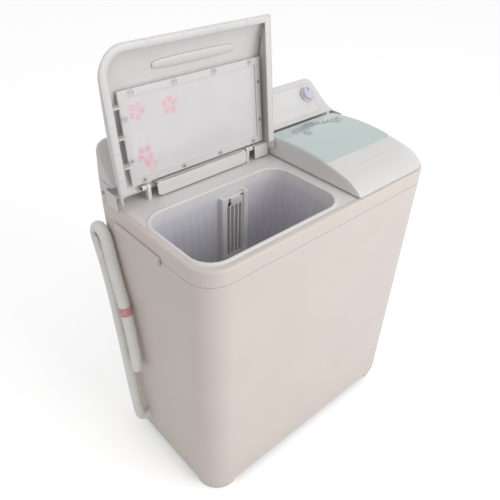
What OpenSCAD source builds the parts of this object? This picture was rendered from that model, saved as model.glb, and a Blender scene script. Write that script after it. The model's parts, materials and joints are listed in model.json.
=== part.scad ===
// Twin-tub washing machine: wash tub on the left, spin drier on the right.
// Millimetres. +X is the machine's right, +Y its back, +Z up. The origin is on the floor, under the middle.
// The wash lid rests open, as the machine stands while it is being loaded.

/* [Body] */
// Width of the body at its deck
body_w = 770; // [740:1:924]
// Depth of the body at its deck
body_d = 446; // [430:1:536]
// Height of the deck, which the lids close onto
deck_h = 800; // [780:1:960]
// Radius of the body's upright corners
corner_r = 70; // [40:1:90]
// How much narrower each side of the cabinet is at its foot
body_taper = 10; // [0:1:14]
// Wall of the cabinet and the top frame
wall = 3; // [2:0.25:4]
// Height of the top frame's skirt
skirt_h = 42; // [30:1:50]
// Height of the four corner feet
foot_h = 22; // [12:1:30]
// Length of a foot along the front and along the side
foot_l = 72; // [50:1:90]
// Thickness of the base plate
base_t = 4; // [3:0.5:8]

/* [Console] */
// Height of the console above the deck
console_rise = 126; // [105:1:140]
// Depth of the console at deck level
console_d = 75; // [62:1:84]
// How far the console's front lip reaches over the lids' hinge
lip_reach = 20; // [16:1:21]
// Diameter of the control knobs
knob_d = 44; // [34:1:52]
// Height of a knob above the panel
knob_h = 18; // [12:1:24]

/* [Lids] */
// Height of the lids' crown above the deck
lid_rise = 55; // [50:1:62]
// Radius of the lids' crown, from front to back
crown_r = 650; // [550:10:900]
// Radius of the roll over the lids' front edge
roll_r = 50; // [30:1:55]
// Radius of the roll over the lids' outer side
side_roll_r = 38; // [20:1:45]
// Wall of a lid shell
lid_wall = 2.5; // [2:0.25:3]
// Height of the hinge line above the deck
hinge_rise = 32; // [28:1:34]
// Diameter of the hinge pins
pin_d = 8; // [5:0.5:9]
// Angle at which the wash lid stands open
lid_open = 96; // [90:1:100]
// Thickness of the spin lid's glass
glass_t = 4; // [3:0.5:5]

/* [Wash tub] */
// Width of the wash tub's mouth
tub_w = 414; // [345:1:420]
// Depth of the wash tub's mouth, front to back
tub_d = 236; // [200:1:250]
// Depth of the wash tub below the deck
tub_deep = 455; // [380:1:470]
// Wall of the two tubs
tub_wall = 2.5; // [2:0.25:3.5]
// Radius of the wash tub's corners
tub_r = 55; // [40:1:66]
// Diameter of the pulsator
pulsator_d = 222; // [186:1:224]
// Diameter of the wash pulley
wash_pulley_d = 170; // [142:1:180]
// Diameter of the wash motor's pulley
motor_pulley_d = 50; // [42:1:60]
// Distance between the two pulley axes
belt_reach = 147; // [140:1:160]

/* [Spin drier] */
// Diameter of the spin basket
basket_d = 224; // [187:1:230]
// Height of the spin basket
basket_h = 350; // [292:1:380]
// Gap between the basket and its outer tub
basket_gap = 19; // [14:1:24]
// Diameter of the spin shaft
spin_shaft_d = 14; // [11:1:17]
// Diameter of the brake drum
brake_d = 110; // [92:1:130]
// Diameter of the two motors
motor_d = 124; // [104:1:132]

/* [Drain hose] */
// Outer diameter of the drain hose
hose_d = 30; // [26:1:32]

/* [Hidden] */

$fn = 96;
slack = 0.3;
seam = 1;
deck_t = 3.5;
skirt_z = deck_h - skirt_h;
front_y = -body_d / 2;
back_y = body_d / 2;
left_x = -body_w / 2;
right_x = body_w / 2;

// The wash tub's mouth lies a rim's width in from the left side and the front.
rim_side = 25;
rim_front = 29;
wash_x = left_x + rim_side + tub_w / 2;
wash_y = front_y + rim_front + tub_d / 2;
tub_spread = 8;
tub_floor = deck_h - tub_deep;
divide_x = wash_x + tub_w / 2 + 31;

// The spin side fills what is left between the wash side and the right wall.
spin_tub_r = basket_d / 2 + basket_gap;
spin_x = (divide_x + right_x) / 2 - 4;
spin_y = front_y + 29 + spin_tub_r;
basket_z = tub_floor + 17;

// The lids' shared hinge line and profile.
hinge_y = back_y - console_d - 40;
hinge_z = deck_h + hinge_rise;
lid_inset = 5;
lid_gap = 2;
lid_z = deck_h + lid_gap;
lid_front = front_y + lid_inset;
lid_back = hinge_y + 12;
crown_z = deck_h + lid_rise;
crown_y = 0;
crown_cz = crown_z - crown_r;
roll_cy = lid_front + roll_r;
roll_cz = crown_cz + sqrt(pow(crown_r - roll_r, 2) - pow(crown_y - roll_cy, 2));
function crown_at(y) = crown_cz + sqrt(pow(crown_r, 2) - pow(y - crown_y, 2));

// The console's side view.
console_front = back_y - console_d;
lip_y = console_front - lip_reach + 1;
lip_z = crown_at(lip_y) + 3;
console_top = deck_h + console_rise;
panel_end_y = back_y - 10;
panel_end_z = console_top - 5;
panel_sag = 7;
panel_span = sqrt(pow(panel_end_y - lip_y, 2) + pow(panel_end_z - lip_z, 2));
panel_slope = atan2(panel_end_z - lip_z, panel_end_y - lip_y);
panel_r = panel_span * panel_span / (8 * panel_sag) + panel_sag / 2;
panel_half = asin(panel_span / 2 / panel_r);
panel_cy = (lip_y + panel_end_y) / 2 - (panel_r - panel_sag) * sin(panel_slope);
panel_cz = (lip_z + panel_end_z) / 2 + (panel_r - panel_sag) * cos(panel_slope);
function panel_point(t, in) = [
    panel_cy + (panel_r + in) * sin(panel_slope + t * panel_half),
    panel_cz - (panel_r + in) * cos(panel_slope + t * panel_half)];
panel_t = 2.5;
knob_at = 0.25;
knob_tilt = panel_slope + knob_at * panel_half;
knob_shaft_d = 8;
wash_knob_x = left_x + 125;
drain_knob_x = divide_x - 25;
spin_knob_x = right_x - 71;

// The drive below the wash tub.
gearbox_h = 80;
belt_z = tub_floor - tub_wall - gearbox_h - 36;
pulley_h = 18;
motor_x = wash_x - belt_reach;
motor_gap = 6;
wash_motor_h = 96;
wash_shaft_d = 12;

// The drive below the spin tub.
brake_z = tub_floor - 62;
brake_h = 26;
spin_motor_h = 150;
spin_motor_z = brake_z - 16 - spin_motor_h;
spring_r = 78;
spring_z = foot_h + base_t;
spring_h = spin_motor_z - 6 - spring_z;

// The drain, which runs from both tubs to the left side.
valve_x = divide_x + 6;
valve_y = console_front + 24;
valve_z = tub_floor - 80;
valve_h = 62;
outlet_y = 100;
outlet_z = 82;
outlet_x = left_x + body_taper;

// The hose's centre line: out of the side, up to the hook, round it and down to its open end.
hose_route = [[-381, 100, 82], [-389, 100, 82], [-396, 102, 85], [-401, 105, 94], [-402, 110, 120],
    [-402, 118, 180], [-402, 126, 260], [-402, 134, 350], [-402, 143, 440], [-402, 153, 530],
    [-402, 167, 610], [-402, 182, 665], [-402, 190, 692], [-402, 192, 708], [-402, 186, 723],
    [-402, 174, 732], [-402, 160, 731], [-402, 149, 723], [-402, 143, 708], [-402, 139, 690],
    [-402, 129, 640], [-402, 115, 580], [-402, 101, 520], [-402, 90, 460], [-402, 82, 390], [-402, 77, 315]];
hose_sides = 12;

function unit(v) = v / norm(v);
function along(p, i) = unit(p[min(i + 1, len(p) - 1)] - p[max(i - 1, 0)]);
function ring(p, i, r, n, side) =
    let (t = along(p, i), u = unit(cross(t, side)), v = cross(t, u))
    [for (k = [0:n - 1]) p[i] + r * (cos(360 * k / n) * u + sin(360 * k / n) * v)];

// A round tube swept along a list of points, closed at both ends. No stretch of it runs along side.
module sweep(p, r, n, side = [1, 1, 1]) {
    m = len(p);
    pts = [for (i = [0:m - 1]) each ring(p, i, r, n, side)];
    sides = [for (i = [0:m - 2], k = [0:n - 1])
        let (a = i * n + k, b = a + n, c = (i + 1) * n + (k + 1) % n, d = c - n) each [[a, b, c], [a, c, d]]];
    ends = [[for (k = [0:n - 1]) k], [for (k = [n - 1:-1:0]) (m - 1) * n + k]];
    polyhedron(points = pts, faces = concat(sides, ends));
}

// A rectangle with true round corners, centred.
module round_rect(w, d, r) {
    square([w - 2 * r, d], center = true);
    square([w, d - 2 * r], center = true);
    for (sx = [-1, 1], sy = [-1, 1])
        translate([sx * (w / 2 - r), sy * (d / 2 - r)]) circle(r);
}

module slab(w, d, r, z0, z1) {
    translate([0, 0, z0]) linear_extrude(z1 - z0) round_rect(w, d, r);
}

// The body's outline at a height, inset by a distance.
function taper_at(z) = body_taper * (deck_h - z) / (deck_h - foot_h);
module body_level(z, inset) {
    t = taper_at(z) + inset;
    translate([0, 0, z]) linear_extrude(0.01, $fn = 64)
        round_rect(body_w - 2 * t, body_d - 2 * t, max(corner_r - inset, 5));
}

module rod(x, y, z0, z1, d) {
    translate([x, y, z0]) cylinder(d = d, h = z1 - z0);
}

module pipe(x, y, z0, z1, d_out, d_in) {
    difference() {
        rod(x, y, z0, z1, d_out);
        rod(x, y, z0 - 1, z1 + 1, d_in);
    }
}

// Turns a flat YZ outline into a solid between two values of X.
module across(x0, x1) {
    translate([x0, 0, 0]) rotate([90, 0, 90]) linear_extrude(x1 - x0) children();
}

// Turns a flat XZ outline into a solid between two values of Y.
module front_to_back(y0, y1) {
    translate([0, y1, 0]) rotate([90, 0, 0]) linear_extrude(y1 - y0) children();
}

module y_rod(x, y0, y1, z, d) {
    translate([x, y0, z]) rotate([-90, 0, 0]) cylinder(d = d, h = y1 - y0);
}

module x_rod(x0, x1, y, z, d) {
    translate([x0, y, z]) rotate([0, 90, 0]) cylinder(d = d, h = x1 - x0);
}

/* Body */

module cabinet() {
    color("gainsboro") difference() {
        hull() {
            body_level(foot_h, 0);
            body_level(skirt_z - seam / 2, 0);
        }
        hull() {
            body_level(foot_h - 1, wall);
            body_level(skirt_z + 1, wall);
        }
        // The rear service opening.
        translate([-rear_w / 2 + 12, back_y - 40, rear_z + 12]) cube([rear_w - 24, 60, rear_h - 24]);
        // The drain outlet and the mains inlet.
        x_rod(left_x - 5, left_x + 40, outlet_y, outlet_z, hose_d + 6);
        translate([gland_x, back_y + 5, gland_z]) rotate([90, 0, 0]) cylinder(d = gland_d, h = 40);
        translate([fill_x, back_y + 5, fill_z]) rotate([90, 0, 0]) cylinder(d = fill_d + 2 * slack, h = 40);
    }
}

rear_w = 520;
rear_h = 420;
rear_z = 150;
rear_t = 1.5;
gland_x = 300;
gland_z = 250;
gland_d = 20;

module rear_cover() {
    y0 = back_y - taper_at(rear_z) + slack;
    lean = atan2(taper_at(rear_z) - taper_at(rear_z + rear_h), rear_h);
    color("silver") translate([0, y0, rear_z]) rotate([-lean, 0, 0]) difference() {
        translate([-rear_w / 2, 0, 0]) cube([rear_w, rear_t, rear_h]);
        for (row = [0:5], side = [-1, 1])
            translate([side * 130 - 60, -1, 60 + 14 * row]) cube([120, rear_t + 2, 5]);
        for (sx = [-1, 1], sz = [8, rear_h - 8])
            translate([sx * (rear_w / 2 - 8), -1, sz]) rotate([-90, 0, 0]) cylinder(d = 4.5, h = rear_t + 2);
    }
}

module rear_screws() {
    y0 = back_y - taper_at(rear_z) + slack;
    lean = atan2(taper_at(rear_z) - taper_at(rear_z + rear_h), rear_h);
    color("darkgray") translate([0, y0, rear_z]) rotate([-lean, 0, 0])
        for (sx = [-1, 1], sz = [8, rear_h - 8])
            translate([sx * (rear_w / 2 - 8), rear_t, sz]) rotate([-90, 0, 0]) {
                cylinder(d = 8, h = 1);
                translate([0, 0, -rear_t - slack + 0.05]) cylinder(d = 4.3, h = rear_t + slack);
            }
}

module base_plate() {
    t = taper_at(foot_h) + wall + slack;
    color("dimgray") {
        difference() {
            slab(body_w - 2 * t, body_d - 2 * t, corner_r - wall, foot_h, foot_h + base_t);
            for (a = [0, 120, 240])
                translate([spin_x + spring_r * cos(a + 90), spin_y + spring_r * sin(a + 90), foot_h - 1])
                    cylinder(d = 12, h = base_t + 2);
            for (k = [0:6])
                translate([wash_x - 110 + 36 * k, wash_y - 70, foot_h - 1]) cube([14, 140, base_t + 2]);
        }
    }
}

module feet() {
    inset = taper_at(foot_h) + 7;
    w = body_w - 2 * inset;
    d = body_d - 2 * inset;
    color("whitesmoke") intersection() {
        slab(w, d, corner_r - 7, 0, foot_h);
        for (sx = [-1, 1], sy = [-1, 1])
            translate([sx * (w / 2 - foot_l / 2), sy * (d / 2 - foot_l / 2), foot_h / 2])
                cube([foot_l + 0.01, foot_l + 0.01, foot_h + 2], center = true);
    }
}

// Deck, rim and skirt in one moulding, with the two mouths.
module top_frame() {
    color("white") difference() {
        union() {
            difference() {
                slab(body_w, body_d, corner_r, skirt_z + seam / 2, deck_h);
                slab(body_w - 2 * wall, body_d - 2 * wall, corner_r - wall, skirt_z - 1, deck_h - deck_t);
            }
            // The tongue that drops inside the cabinet.
            difference() {
                slab(body_w - 2 * wall - 3, body_d - 2 * wall - 3, corner_r - wall - 1.5,
                    skirt_z - 10, deck_h - deck_t);
                slab(body_w - 4 * wall - 3, body_d - 4 * wall - 3, corner_r - 2 * wall - 1.5,
                    skirt_z - 11, deck_h - deck_t + 0.1);
            }
            // The lip that hangs into the wash tub's mouth.
            translate([wash_x, wash_y, 0]) slab(tub_w, tub_d, tub_r, deck_h - 24, deck_h);
            rod(spin_x, spin_y, deck_h - 18, deck_h, 2 * spin_tub_r - 14);
            for (x = hinge_ears) hinge_ear(x);
            for (s = [-1, 1])
                translate([spin_x + s * 63 - 2.4, safety_hinge_y - 5, deck_h - 1]) cube([4.8, 10, 10]);
        }
        x_rod(spin_x - 67, spin_x + 67, safety_hinge_y, safety_z + 2.5, 5.1);
        translate([wash_x, wash_y, 0])
            slab(tub_w - 2 * wall, tub_d - 2 * wall, tub_r - wall, deck_h - 40, deck_h + 1);
        rod(spin_x, spin_y, deck_h - 40, deck_h + 1, 2 * spin_tub_r - 20);
        // The console stands on the deck, and its wires and links pass through here.
        translate([left_x + 60, console_front + 12, deck_h - 10]) cube([body_w - 120, console_d - 32, 20]);
    }
}

ear_t = 10;
wash_ear_l = divide_x - 385;
wash_ear_r = divide_x - 79;
spin_ear_l = divide_x + 39;
spin_ear_r = right_x - 59;
hinge_ears = [wash_ear_l, wash_ear_r, spin_ear_l, spin_ear_r];
knuckle_r = pin_d / 2 + 2.5;

// An upright plate on the deck that holds one hinge pin.
module hinge_ear(x) {
    difference() {
        union() {
            translate([x, hinge_y - knuckle_r, deck_h - deck_t]) cube([ear_t, 2 * knuckle_r, hinge_rise + deck_t]);
            x_rod(x, x + ear_t, hinge_y, hinge_z, 2 * knuckle_r);
        }
        x_rod(x - 1, x + ear_t + 1, hinge_y, hinge_z, pin_d);
    }
}

grip_y = -66;
grip_l = 178;
grip_z = 742;

// Two rounded hand holds, one on each side, just under the rim.
module grips() {
    color("white") for (side = [-1, 1])
        intersection() {
            y_rod(side * (right_x - 4), grip_y, grip_y + grip_l, grip_z + 14, 25);
            translate([side * (right_x + 10) - 10 + side * slack, grip_y - 1, grip_z - 10])
                cube([20, grip_l + 2, 60]);
        }
}

/* Console */

// The console's side view, inset by a distance.
module console_side(in) {
    arc = [for (i = [0:16]) panel_point(-1 + i / 8, in)];
    first = arc[0];
    last = arc[16];
    polygon(concat(
        [[first[0] + in, first[1]]],
        [for (i = [1:15]) arc[i]],
        [[last[0], last[1]], [back_y - 4 - in / 2, console_top - in], [back_y - in, console_top - 8 - in],
        [back_y - in, deck_h + in], [console_front + in, deck_h + in],
        [console_front + in, lip_z - 9 - in], [lip_y + 4 + in, lip_z - 4 - in / 2]]));
}

// The console's front view: its ends lean in and round over at the top.
module console_front_view(in) {
    r = 34;
    z1 = console_top - in;
    tilt = atan2(end_lean, console_rise);
    cx = console_end(z1 - r) - in - r / cos(tilt);
    for (s = [-1, 1])
        polygon(concat(
            [[0, deck_h - 2], [s * (console_end(deck_h - 2) - in), deck_h - 2]],
            [for (i = [0:8]) let (a = tilt + (90 - tilt) * i / 8) [s * (cx + r * cos(a)), z1 - r + r * sin(a)]],
            [[0, z1]]));
}

// Where the console's leaning end is at a height.
end_lean = 24;
function console_end(z) = right_x - 0.5 - end_lean * (z - deck_h) / console_rise;

module console_body(in) {
    intersection() {
        across(left_x + in, right_x - in) console_side(in);
        front_to_back(lip_y - 5, back_y + 5) console_front_view(in);
        translate([0, -60, 0]) slab(body_w - 2 * in - 0.4, body_d + 120 - 2 * in, corner_r - in,
            deck_h - 5, console_top + 5);
    }
}

panel_half_w = 335;

// The band of the panel between two depths below the console's face.
module panel_band(d0, d1, half_w, t0, t1) {
    n = 12;
    top = [for (i = [0:n]) panel_point(t0 + (t1 - t0) * i / n, d0)];
    low = [for (i = [n:-1:0]) panel_point(t0 + (t1 - t0) * i / n, d1)];
    across(-half_w, half_w) polygon(concat(top, low));
}

module at_knob(x) {
    p = panel_point(knob_at, 0);
    translate([x, p[0], p[1]]) rotate([knob_tilt, 0, 0]) children();
}

module console_shell() {
    color("gainsboro") {
        difference() {
            console_body(0);
            difference() {
                console_body(wall);
                // Ledges that the panel rests on.
                panel_band(panel_t + 0.1, panel_t + 6, panel_half_w + 20, -1, 1);
            }
            panel_band(-5, panel_t, panel_half_w + slack, -0.82, 0.86);
            panel_band(-5, 12, panel_half_w - 8, -0.74, 0.78);
            translate([left_x + 62, console_front + 14, deck_h - 10]) cube([body_w - 124, console_d - 36, 20]);
            for (side = [0, 1]) mirror([side, 0, 0]) x_rod(left_x - 1, left_x + 30, screw_y, screw_z, 5);
        }
        // The cheeks close the deck's two ends beside the lids.
        for (x = [left_x + 0.3, right_x - 3.3])
            translate([x, hinge_y - 8, deck_h]) cube([3, console_front - hinge_y + 9, hinge_rise + 8]);
    }
}

module console_panel() {
    color("white") difference() {
        panel_band(0, panel_t - 0.05, panel_half_w, -0.8, 0.84);
        for (x = [wash_knob_x, drain_knob_x, spin_knob_x])
            at_knob(x) translate([0, 0, -10]) cylinder(d = knob_shaft_d + 4, h = 20);
    }
}

screw_y = console_front + 16;
screw_z = deck_h + 22;
screw_end = console_end(screw_z - 5) + 0.1;

module console_screws() {
    color("gray") for (side = [0, 1])
        mirror([side, 0, 0]) {
            x_rod(-screw_end, 20 - screw_end, screw_y, screw_z, 4.8);
            x_rod(-screw_end - 1.8, -screw_end, screw_y, screw_z, 9);
        }
}

// A round knob with a grip bar and a pointer, and the shaft that it turns.
module knob(x) {
    at_knob(x) {
        difference() {
            union() {
                translate([0, 0, 1.8]) cylinder(d = knob_d, h = 4.2);
                translate([0, 0, 5.9]) cylinder(d = knob_d - 6, h = knob_h - 5.9);
                translate([0, 0, -34]) cylinder(d = knob_shaft_d, h = 36);
            }
            for (s = [-1, 1])
                translate([s * knob_d / 2, 0, knob_h]) cube([knob_d - 12, knob_d, 16], center = true);
            translate([0, knob_d / 2 - 7, knob_h - 1]) cube([2, 9, 4], center = true);
        }
    }
}

module wash_timer_knob() {
    color("lavender") knob(wash_knob_x);
}

module drain_knob() {
    color("lavender") knob(drain_knob_x);
}

module spin_timer_knob() {
    color("lavender") knob(spin_knob_x);
}

// A clockwork timer under the panel, with its shaft's bore.
module timer_box(x) {
    at_knob(x) difference() {
        union() {
            translate([-20, -19, -panel_t - 24]) cube([40, 35, 18]);
            translate([0, 0, -panel_t - 6.5]) cylinder(d = 18, h = 6);
        }
        translate([0, 0, -40]) cylinder(d = knob_shaft_d + 0.3, h = 60);
    }
}

module wash_timer() {
    color("ivory") timer_box(wash_knob_x);
}

module spin_timer() {
    color("ivory") timer_box(spin_knob_x);
}

module drain_selector() {
    color("ivory") at_knob(drain_knob_x) difference() {
        union() {
            translate([-20, -20, -panel_t - 22]) cube([40, 40, 16]);
            translate([0, 0, -panel_t - 6.5]) cylinder(d = 18, h = 6);
        }
        translate([0, 0, -40]) cylinder(d = knob_shaft_d + 0.3, h = 60);
    }
}

/* Lids */

// A lid's side view when shut, inset by a distance: crown, front roll, open underneath.
module lid_side(in) {
    r = roll_r - in;
    a0 = atan2(roll_cz - crown_cz, roll_cy - crown_y);
    low = asin((lid_z - roll_cz) / r);
    polygon(concat(
        [for (i = [0:10]) let (a = 180 - low + (a0 - 180 + low) * i / 10)
            [roll_cy + r * cos(a), roll_cz + r * sin(a)]],
        [for (i = [1:14]) let (b = a0 + (lid_end_angle(in) - a0) * i / 14)
            [crown_y + (crown_r - in) * cos(b), crown_cz + (crown_r - in) * sin(b)]],
        [[lid_end(in), lid_z - 1], [roll_cy - r * cos(low), lid_z - 1]]));
}
// The shell has no back wall: what is hollowed out of it runs on past its end.
function lid_end(in) = in > 0 ? lid_back + 5 : lid_back;
function lid_end_angle(in) = acos((lid_end(in) - crown_y) / (crown_r - in));

// A lid's front view: a roll on its outer side and a plain wall on its inner side.
module lid_front_view(x0, x1, in, roll_side) {
    r = side_roll_r - in;
    z1 = crown_z + 1 - in;
    a = x0 + in;
    b = x1 - in;
    if (roll_side < 0)
        polygon(concat([[b, lid_z - 2], [b, z1]],
            [for (i = [0:8]) [a + r - r * sin(90 * i / 8), z1 - r + r * cos(90 * i / 8)]], [[a, lid_z - 2]]));
    else
        polygon(concat([[a, lid_z - 2], [a, z1]],
            [for (i = [0:8]) [b - r + r * sin(90 * i / 8), z1 - r + r * cos(90 * i / 8)]], [[b, lid_z - 2]]));
}

module lid_solid(x0, x1, in, roll_side) {
    inset = lid_inset + in;
    intersection() {
        across(x0 + in, x1 - in) lid_side(in);
        front_to_back(lid_front - 1, lid_back + 6) lid_front_view(x0, x1, in, roll_side);
        translate([0, 100, 0]) slab(body_w - 2 * inset, body_d + 200 - 2 * inset, corner_r - inset,
            lid_z - 1 + (in == 0 ? 1 : -1), crown_z + 5);
    }
}

module lid_shell(x0, x1, roll_side) {
    difference() {
        lid_solid(x0, x1, 0, roll_side);
        lid_solid(x0, x1, lid_wall, roll_side);
        // The side walls stop short of the hinge, so that they clear the deck as the lid swings.
        translate([x0 - 1, hinge_y - 12, lid_z - 5]) cube([x1 - x0 + 2, 40, hinge_rise - 1]);
    }
}

// A knuckle under the lid's skin that turns on a hinge pin.
module knuckle(x0, x1) {
    top = crown_at(hinge_y) - lid_wall / 2;
    difference() {
        union() {
            x_rod(x0, x1, hinge_y, hinge_z, 2 * knuckle_r);
            translate([x0, hinge_y - knuckle_r, hinge_z]) cube([x1 - x0, 2 * knuckle_r, top - hinge_z - 2]);
            translate([x0, hinge_y - knuckle_r, hinge_z]) cube([x1 - x0, knuckle_r, top - hinge_z]);
        }
        x_rod(x0 - 1, x1 + 1, hinge_y, hinge_z, pin_d + 0.15);
    }
}

wash_lid_l = left_x + lid_inset;
wash_lid_r = divide_x - 2;
spin_lid_l = divide_x + 2;
spin_lid_r = right_x - lid_inset;
knuckle_w = 12;
knuckle_gap = 1;

// Stands a shut lid up at the angle it rests at.
module stood_open(angle) {
    translate([0, hinge_y, hinge_z]) rotate([-angle, 0, 0]) translate([0, -hinge_y, -hinge_z]) children();
}

// The plate behind the hinge line that tucks under the console's lip.
strip_z = hinge_z - 9;
strip_end = hinge_y + 30;
module hinge_strip(x0, x1) {
    translate([x0, hinge_y - 6, strip_z]) cube([x1 - x0, strip_end - hinge_y + 6, 2.5]);
    translate([x0, hinge_y - 6, strip_z]) cube([x1 - x0, 2.5, crown_at(hinge_y) - strip_z - lid_wall / 2]);
}

module rib(x0, x1, y0, y1, z0, z1) {
    translate([x0, y0, z0]) cube([x1 - x0, y1 - y0, z1 - z0]);
}

lid_rib_t = 3;
panel_rib_z = crown_at(lid_front + 58) - 16;

module wash_lid() {
    color("whitesmoke") stood_open(lid_open) {
        lid_shell(wash_lid_l, wash_lid_r, -1);
        knuckle(wash_ear_l - knuckle_gap - knuckle_w, wash_ear_l - knuckle_gap);
        knuckle(wash_ear_r + ear_t + knuckle_gap, wash_ear_r + ear_t + knuckle_gap + knuckle_w);
        hinge_strip(wash_ear_l + ear_t + 16, wash_ear_r - 4);
        hinge_strip(wash_ear_r + ear_t + 16, wash_lid_r - 4);
        // The seat that the window and its frame are screwed up against.
        intersection() {
            difference() {
                rib(win_x0 - frame_w + 3, win_x1 + frame_w - 3, win_y0 - frame_w + 3, win_y1 + frame_w - 3,
                    win_z, crown_z);
                rib(win_x0 - 3, win_x1 + 3, win_y0 - 3, win_y1 + 3, win_z - 1, crown_z + 1);
                for (p = lid_screw_points())
                    translate([p[0], p[1], win_z - 10]) cylinder(d = 3.4, h = 12.5);
            }
            lid_solid(wash_lid_l, wash_lid_r, lid_wall / 2, -1);
        }
        // Ribs across the front band.
        intersection() {
            for (k = [0:4])
                rib(wash_lid_l + 95 + 82 * k, wash_lid_l + 95 + 82 * k + lid_rib_t,
                    lid_front - 1, lid_front + 46, lid_z + 8, crown_z);
            lid_solid(wash_lid_l, wash_lid_r, lid_wall / 2, -1);
        }
        // Ribs across the side band.
        intersection() {
            for (k = [0:2])
                rib(wash_lid_l - 1, wash_lid_l + 44, lid_front + 120 + 66 * k,
                    lid_front + 120 + 66 * k + lid_rib_t, lid_z + 8, crown_z);
            lid_solid(wash_lid_l, wash_lid_r, lid_wall / 2, -1);
        }
    }
}

// The window's place on the wash lid when it is shut.
win_x0 = wash_lid_l + 62;
win_x1 = wash_lid_r - 30;
win_y0 = hinge_y - 212;
win_y1 = hinge_y - 26;
frame_w = 15;
win_z = crown_at(win_y0 - frame_w) - lid_wall - 3;

module wash_lid_frame() {
    color("white") stood_open(lid_open) difference() {
        rib(win_x0 - frame_w, win_x1 + frame_w, win_y0 - frame_w, win_y1 + frame_w, win_z - 7, win_z - 3);
        rib(win_x0, win_x1, win_y0, win_y1, win_z - 9, win_z + 1);
        for (p = lid_screw_points())
            translate([p[0], p[1], win_z - 10]) cylinder(d = 3.4, h = 12);
    }
}

function lid_screw_points() = concat(
    [for (k = [0:3]) [win_x0 + 18 + (win_x1 - win_x0 - 36) * k / 3, win_y0 - frame_w / 2]],
    [for (k = [0:3]) [win_x0 + 18 + (win_x1 - win_x0 - 36) * k / 3, win_y1 + frame_w / 2]],
    [for (x = [win_x0 - frame_w / 2, win_x1 + frame_w / 2], y = [win_y0 + 45, win_y1 - 45]) [x, y]]);

module wash_lid_screws() {
    color("silver") stood_open(lid_open) for (p = lid_screw_points()) {
        translate([p[0], p[1], win_z - 8.6]) cylinder(d = 6.5, h = 1.6);
        translate([p[0], p[1], win_z - 7.1]) cylinder(d = 3.3, h = 9);
    }
}

module wash_lid_window() {
    color("lavenderblush") stood_open(lid_open) difference() {
        rib(win_x0 - frame_w + 4, win_x1 + frame_w - 4, win_y0 - frame_w + 4, win_y1 + frame_w - 4,
            win_z - 3, win_z);
        for (p = lid_screw_points())
            translate([p[0], p[1], win_z - 10]) cylinder(d = 3.6, h = 20);
    }
}

module hinge_pin(x0, x1) {
    x_rod(x0, x1, hinge_y, hinge_z, pin_d - 0.02);
}

module wash_lid_pins() {
    color("silver") {
        hinge_pin(wash_ear_l - knuckle_gap - knuckle_w, wash_ear_l + ear_t);
        hinge_pin(wash_ear_r, wash_ear_r + ear_t + knuckle_gap + knuckle_w);
    }
}

module spin_lid_pins() {
    color("silver") {
        hinge_pin(spin_ear_l - knuckle_gap - knuckle_w, spin_ear_l + ear_t);
        hinge_pin(spin_ear_r, spin_ear_r + ear_t + knuckle_gap + knuckle_w);
    }
}

glass_x0 = spin_lid_l + 5;
glass_x1 = spin_lid_r - 30;
glass_y0 = lid_front + 118;
glass_y1 = lid_back - 3;

// The crown's skin between two depths, over a rectangle.
module crown_patch(x0, x1, y0, y1, d0, d1) {
    intersection() {
        across(x0, x1) difference() {
            translate([crown_y, crown_cz]) circle(crown_r - d0, $fn = 400);
            translate([crown_y, crown_cz]) circle(crown_r - d1, $fn = 400);
        }
        rib(x0, x1, y0, y1, deck_h, crown_z + 5);
    }
}

module spin_lid() {
    color("whitesmoke") difference() {
        union() {
            lid_shell(spin_lid_l, spin_lid_r, 1);
            crown_patch(glass_x0 - 3, glass_x1 + 6, glass_y0 - 6, hinge_y - 2, lid_wall / 2, glass_t + 2.5);
            knuckle(spin_ear_l - knuckle_gap - knuckle_w, spin_ear_l - knuckle_gap);
            knuckle(spin_ear_r + ear_t + knuckle_gap, spin_ear_r + ear_t + knuckle_gap + knuckle_w);
        }
        crown_patch(glass_x0, glass_x1, glass_y0, glass_y1 + 20, -1, glass_t);
        crown_patch(glass_x0 + 8, glass_x1 - 8, glass_y0 + 8, glass_y1 - 30, -1, glass_t + 8);
        // The finger groove.
        translate([glass_x0 + 62, lid_front + 74, crown_at(lid_front + 74) + 1]) rotate([0, 90, 0])
            cylinder(d = 5, h = 145);
    }
}

module spin_lid_glass() {
    color("lightcyan") crown_patch(glass_x0 + 0.5, glass_x1 - 0.5, glass_y0 + 1, glass_y1 - 0.3,
        0, glass_t - 0.1);
}

safety_z = deck_h + 1.8;
safety_r = spin_tub_r - 2;
safety_hinge_y = spin_y + safety_r + 4;

// The inner lid over the basket, with a raised grip and its own hinge bar.
module spin_safety_lid() {
    color("white") difference() {
        union() {
            rod(spin_x, spin_y, safety_z - 1.5, safety_z + 1.5, 2 * safety_r);
            pipe(spin_x, spin_y, safety_z - 1.5, safety_z + 6, 2 * safety_r, 2 * safety_r - 5);
            rib(spin_x - 35, spin_x + 35, spin_y - safety_r + 22, spin_y - safety_r + 27, safety_z, safety_z + 16);
            rib(spin_x - 60, spin_x + 60, spin_y + safety_r - 24, safety_hinge_y, safety_z - 1.5, safety_z + 1.5);
            x_rod(spin_x - 66, spin_x + 66, safety_hinge_y, safety_z + 2.5, 5);
        }
        for (k = [0:5], s = [-1, 1])
            translate([spin_x + s * 22 - 15, spin_y - 50 + 14 * k, safety_z - 5]) cube([30, 5, 12]);
    }
}

/* Wash side */

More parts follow.
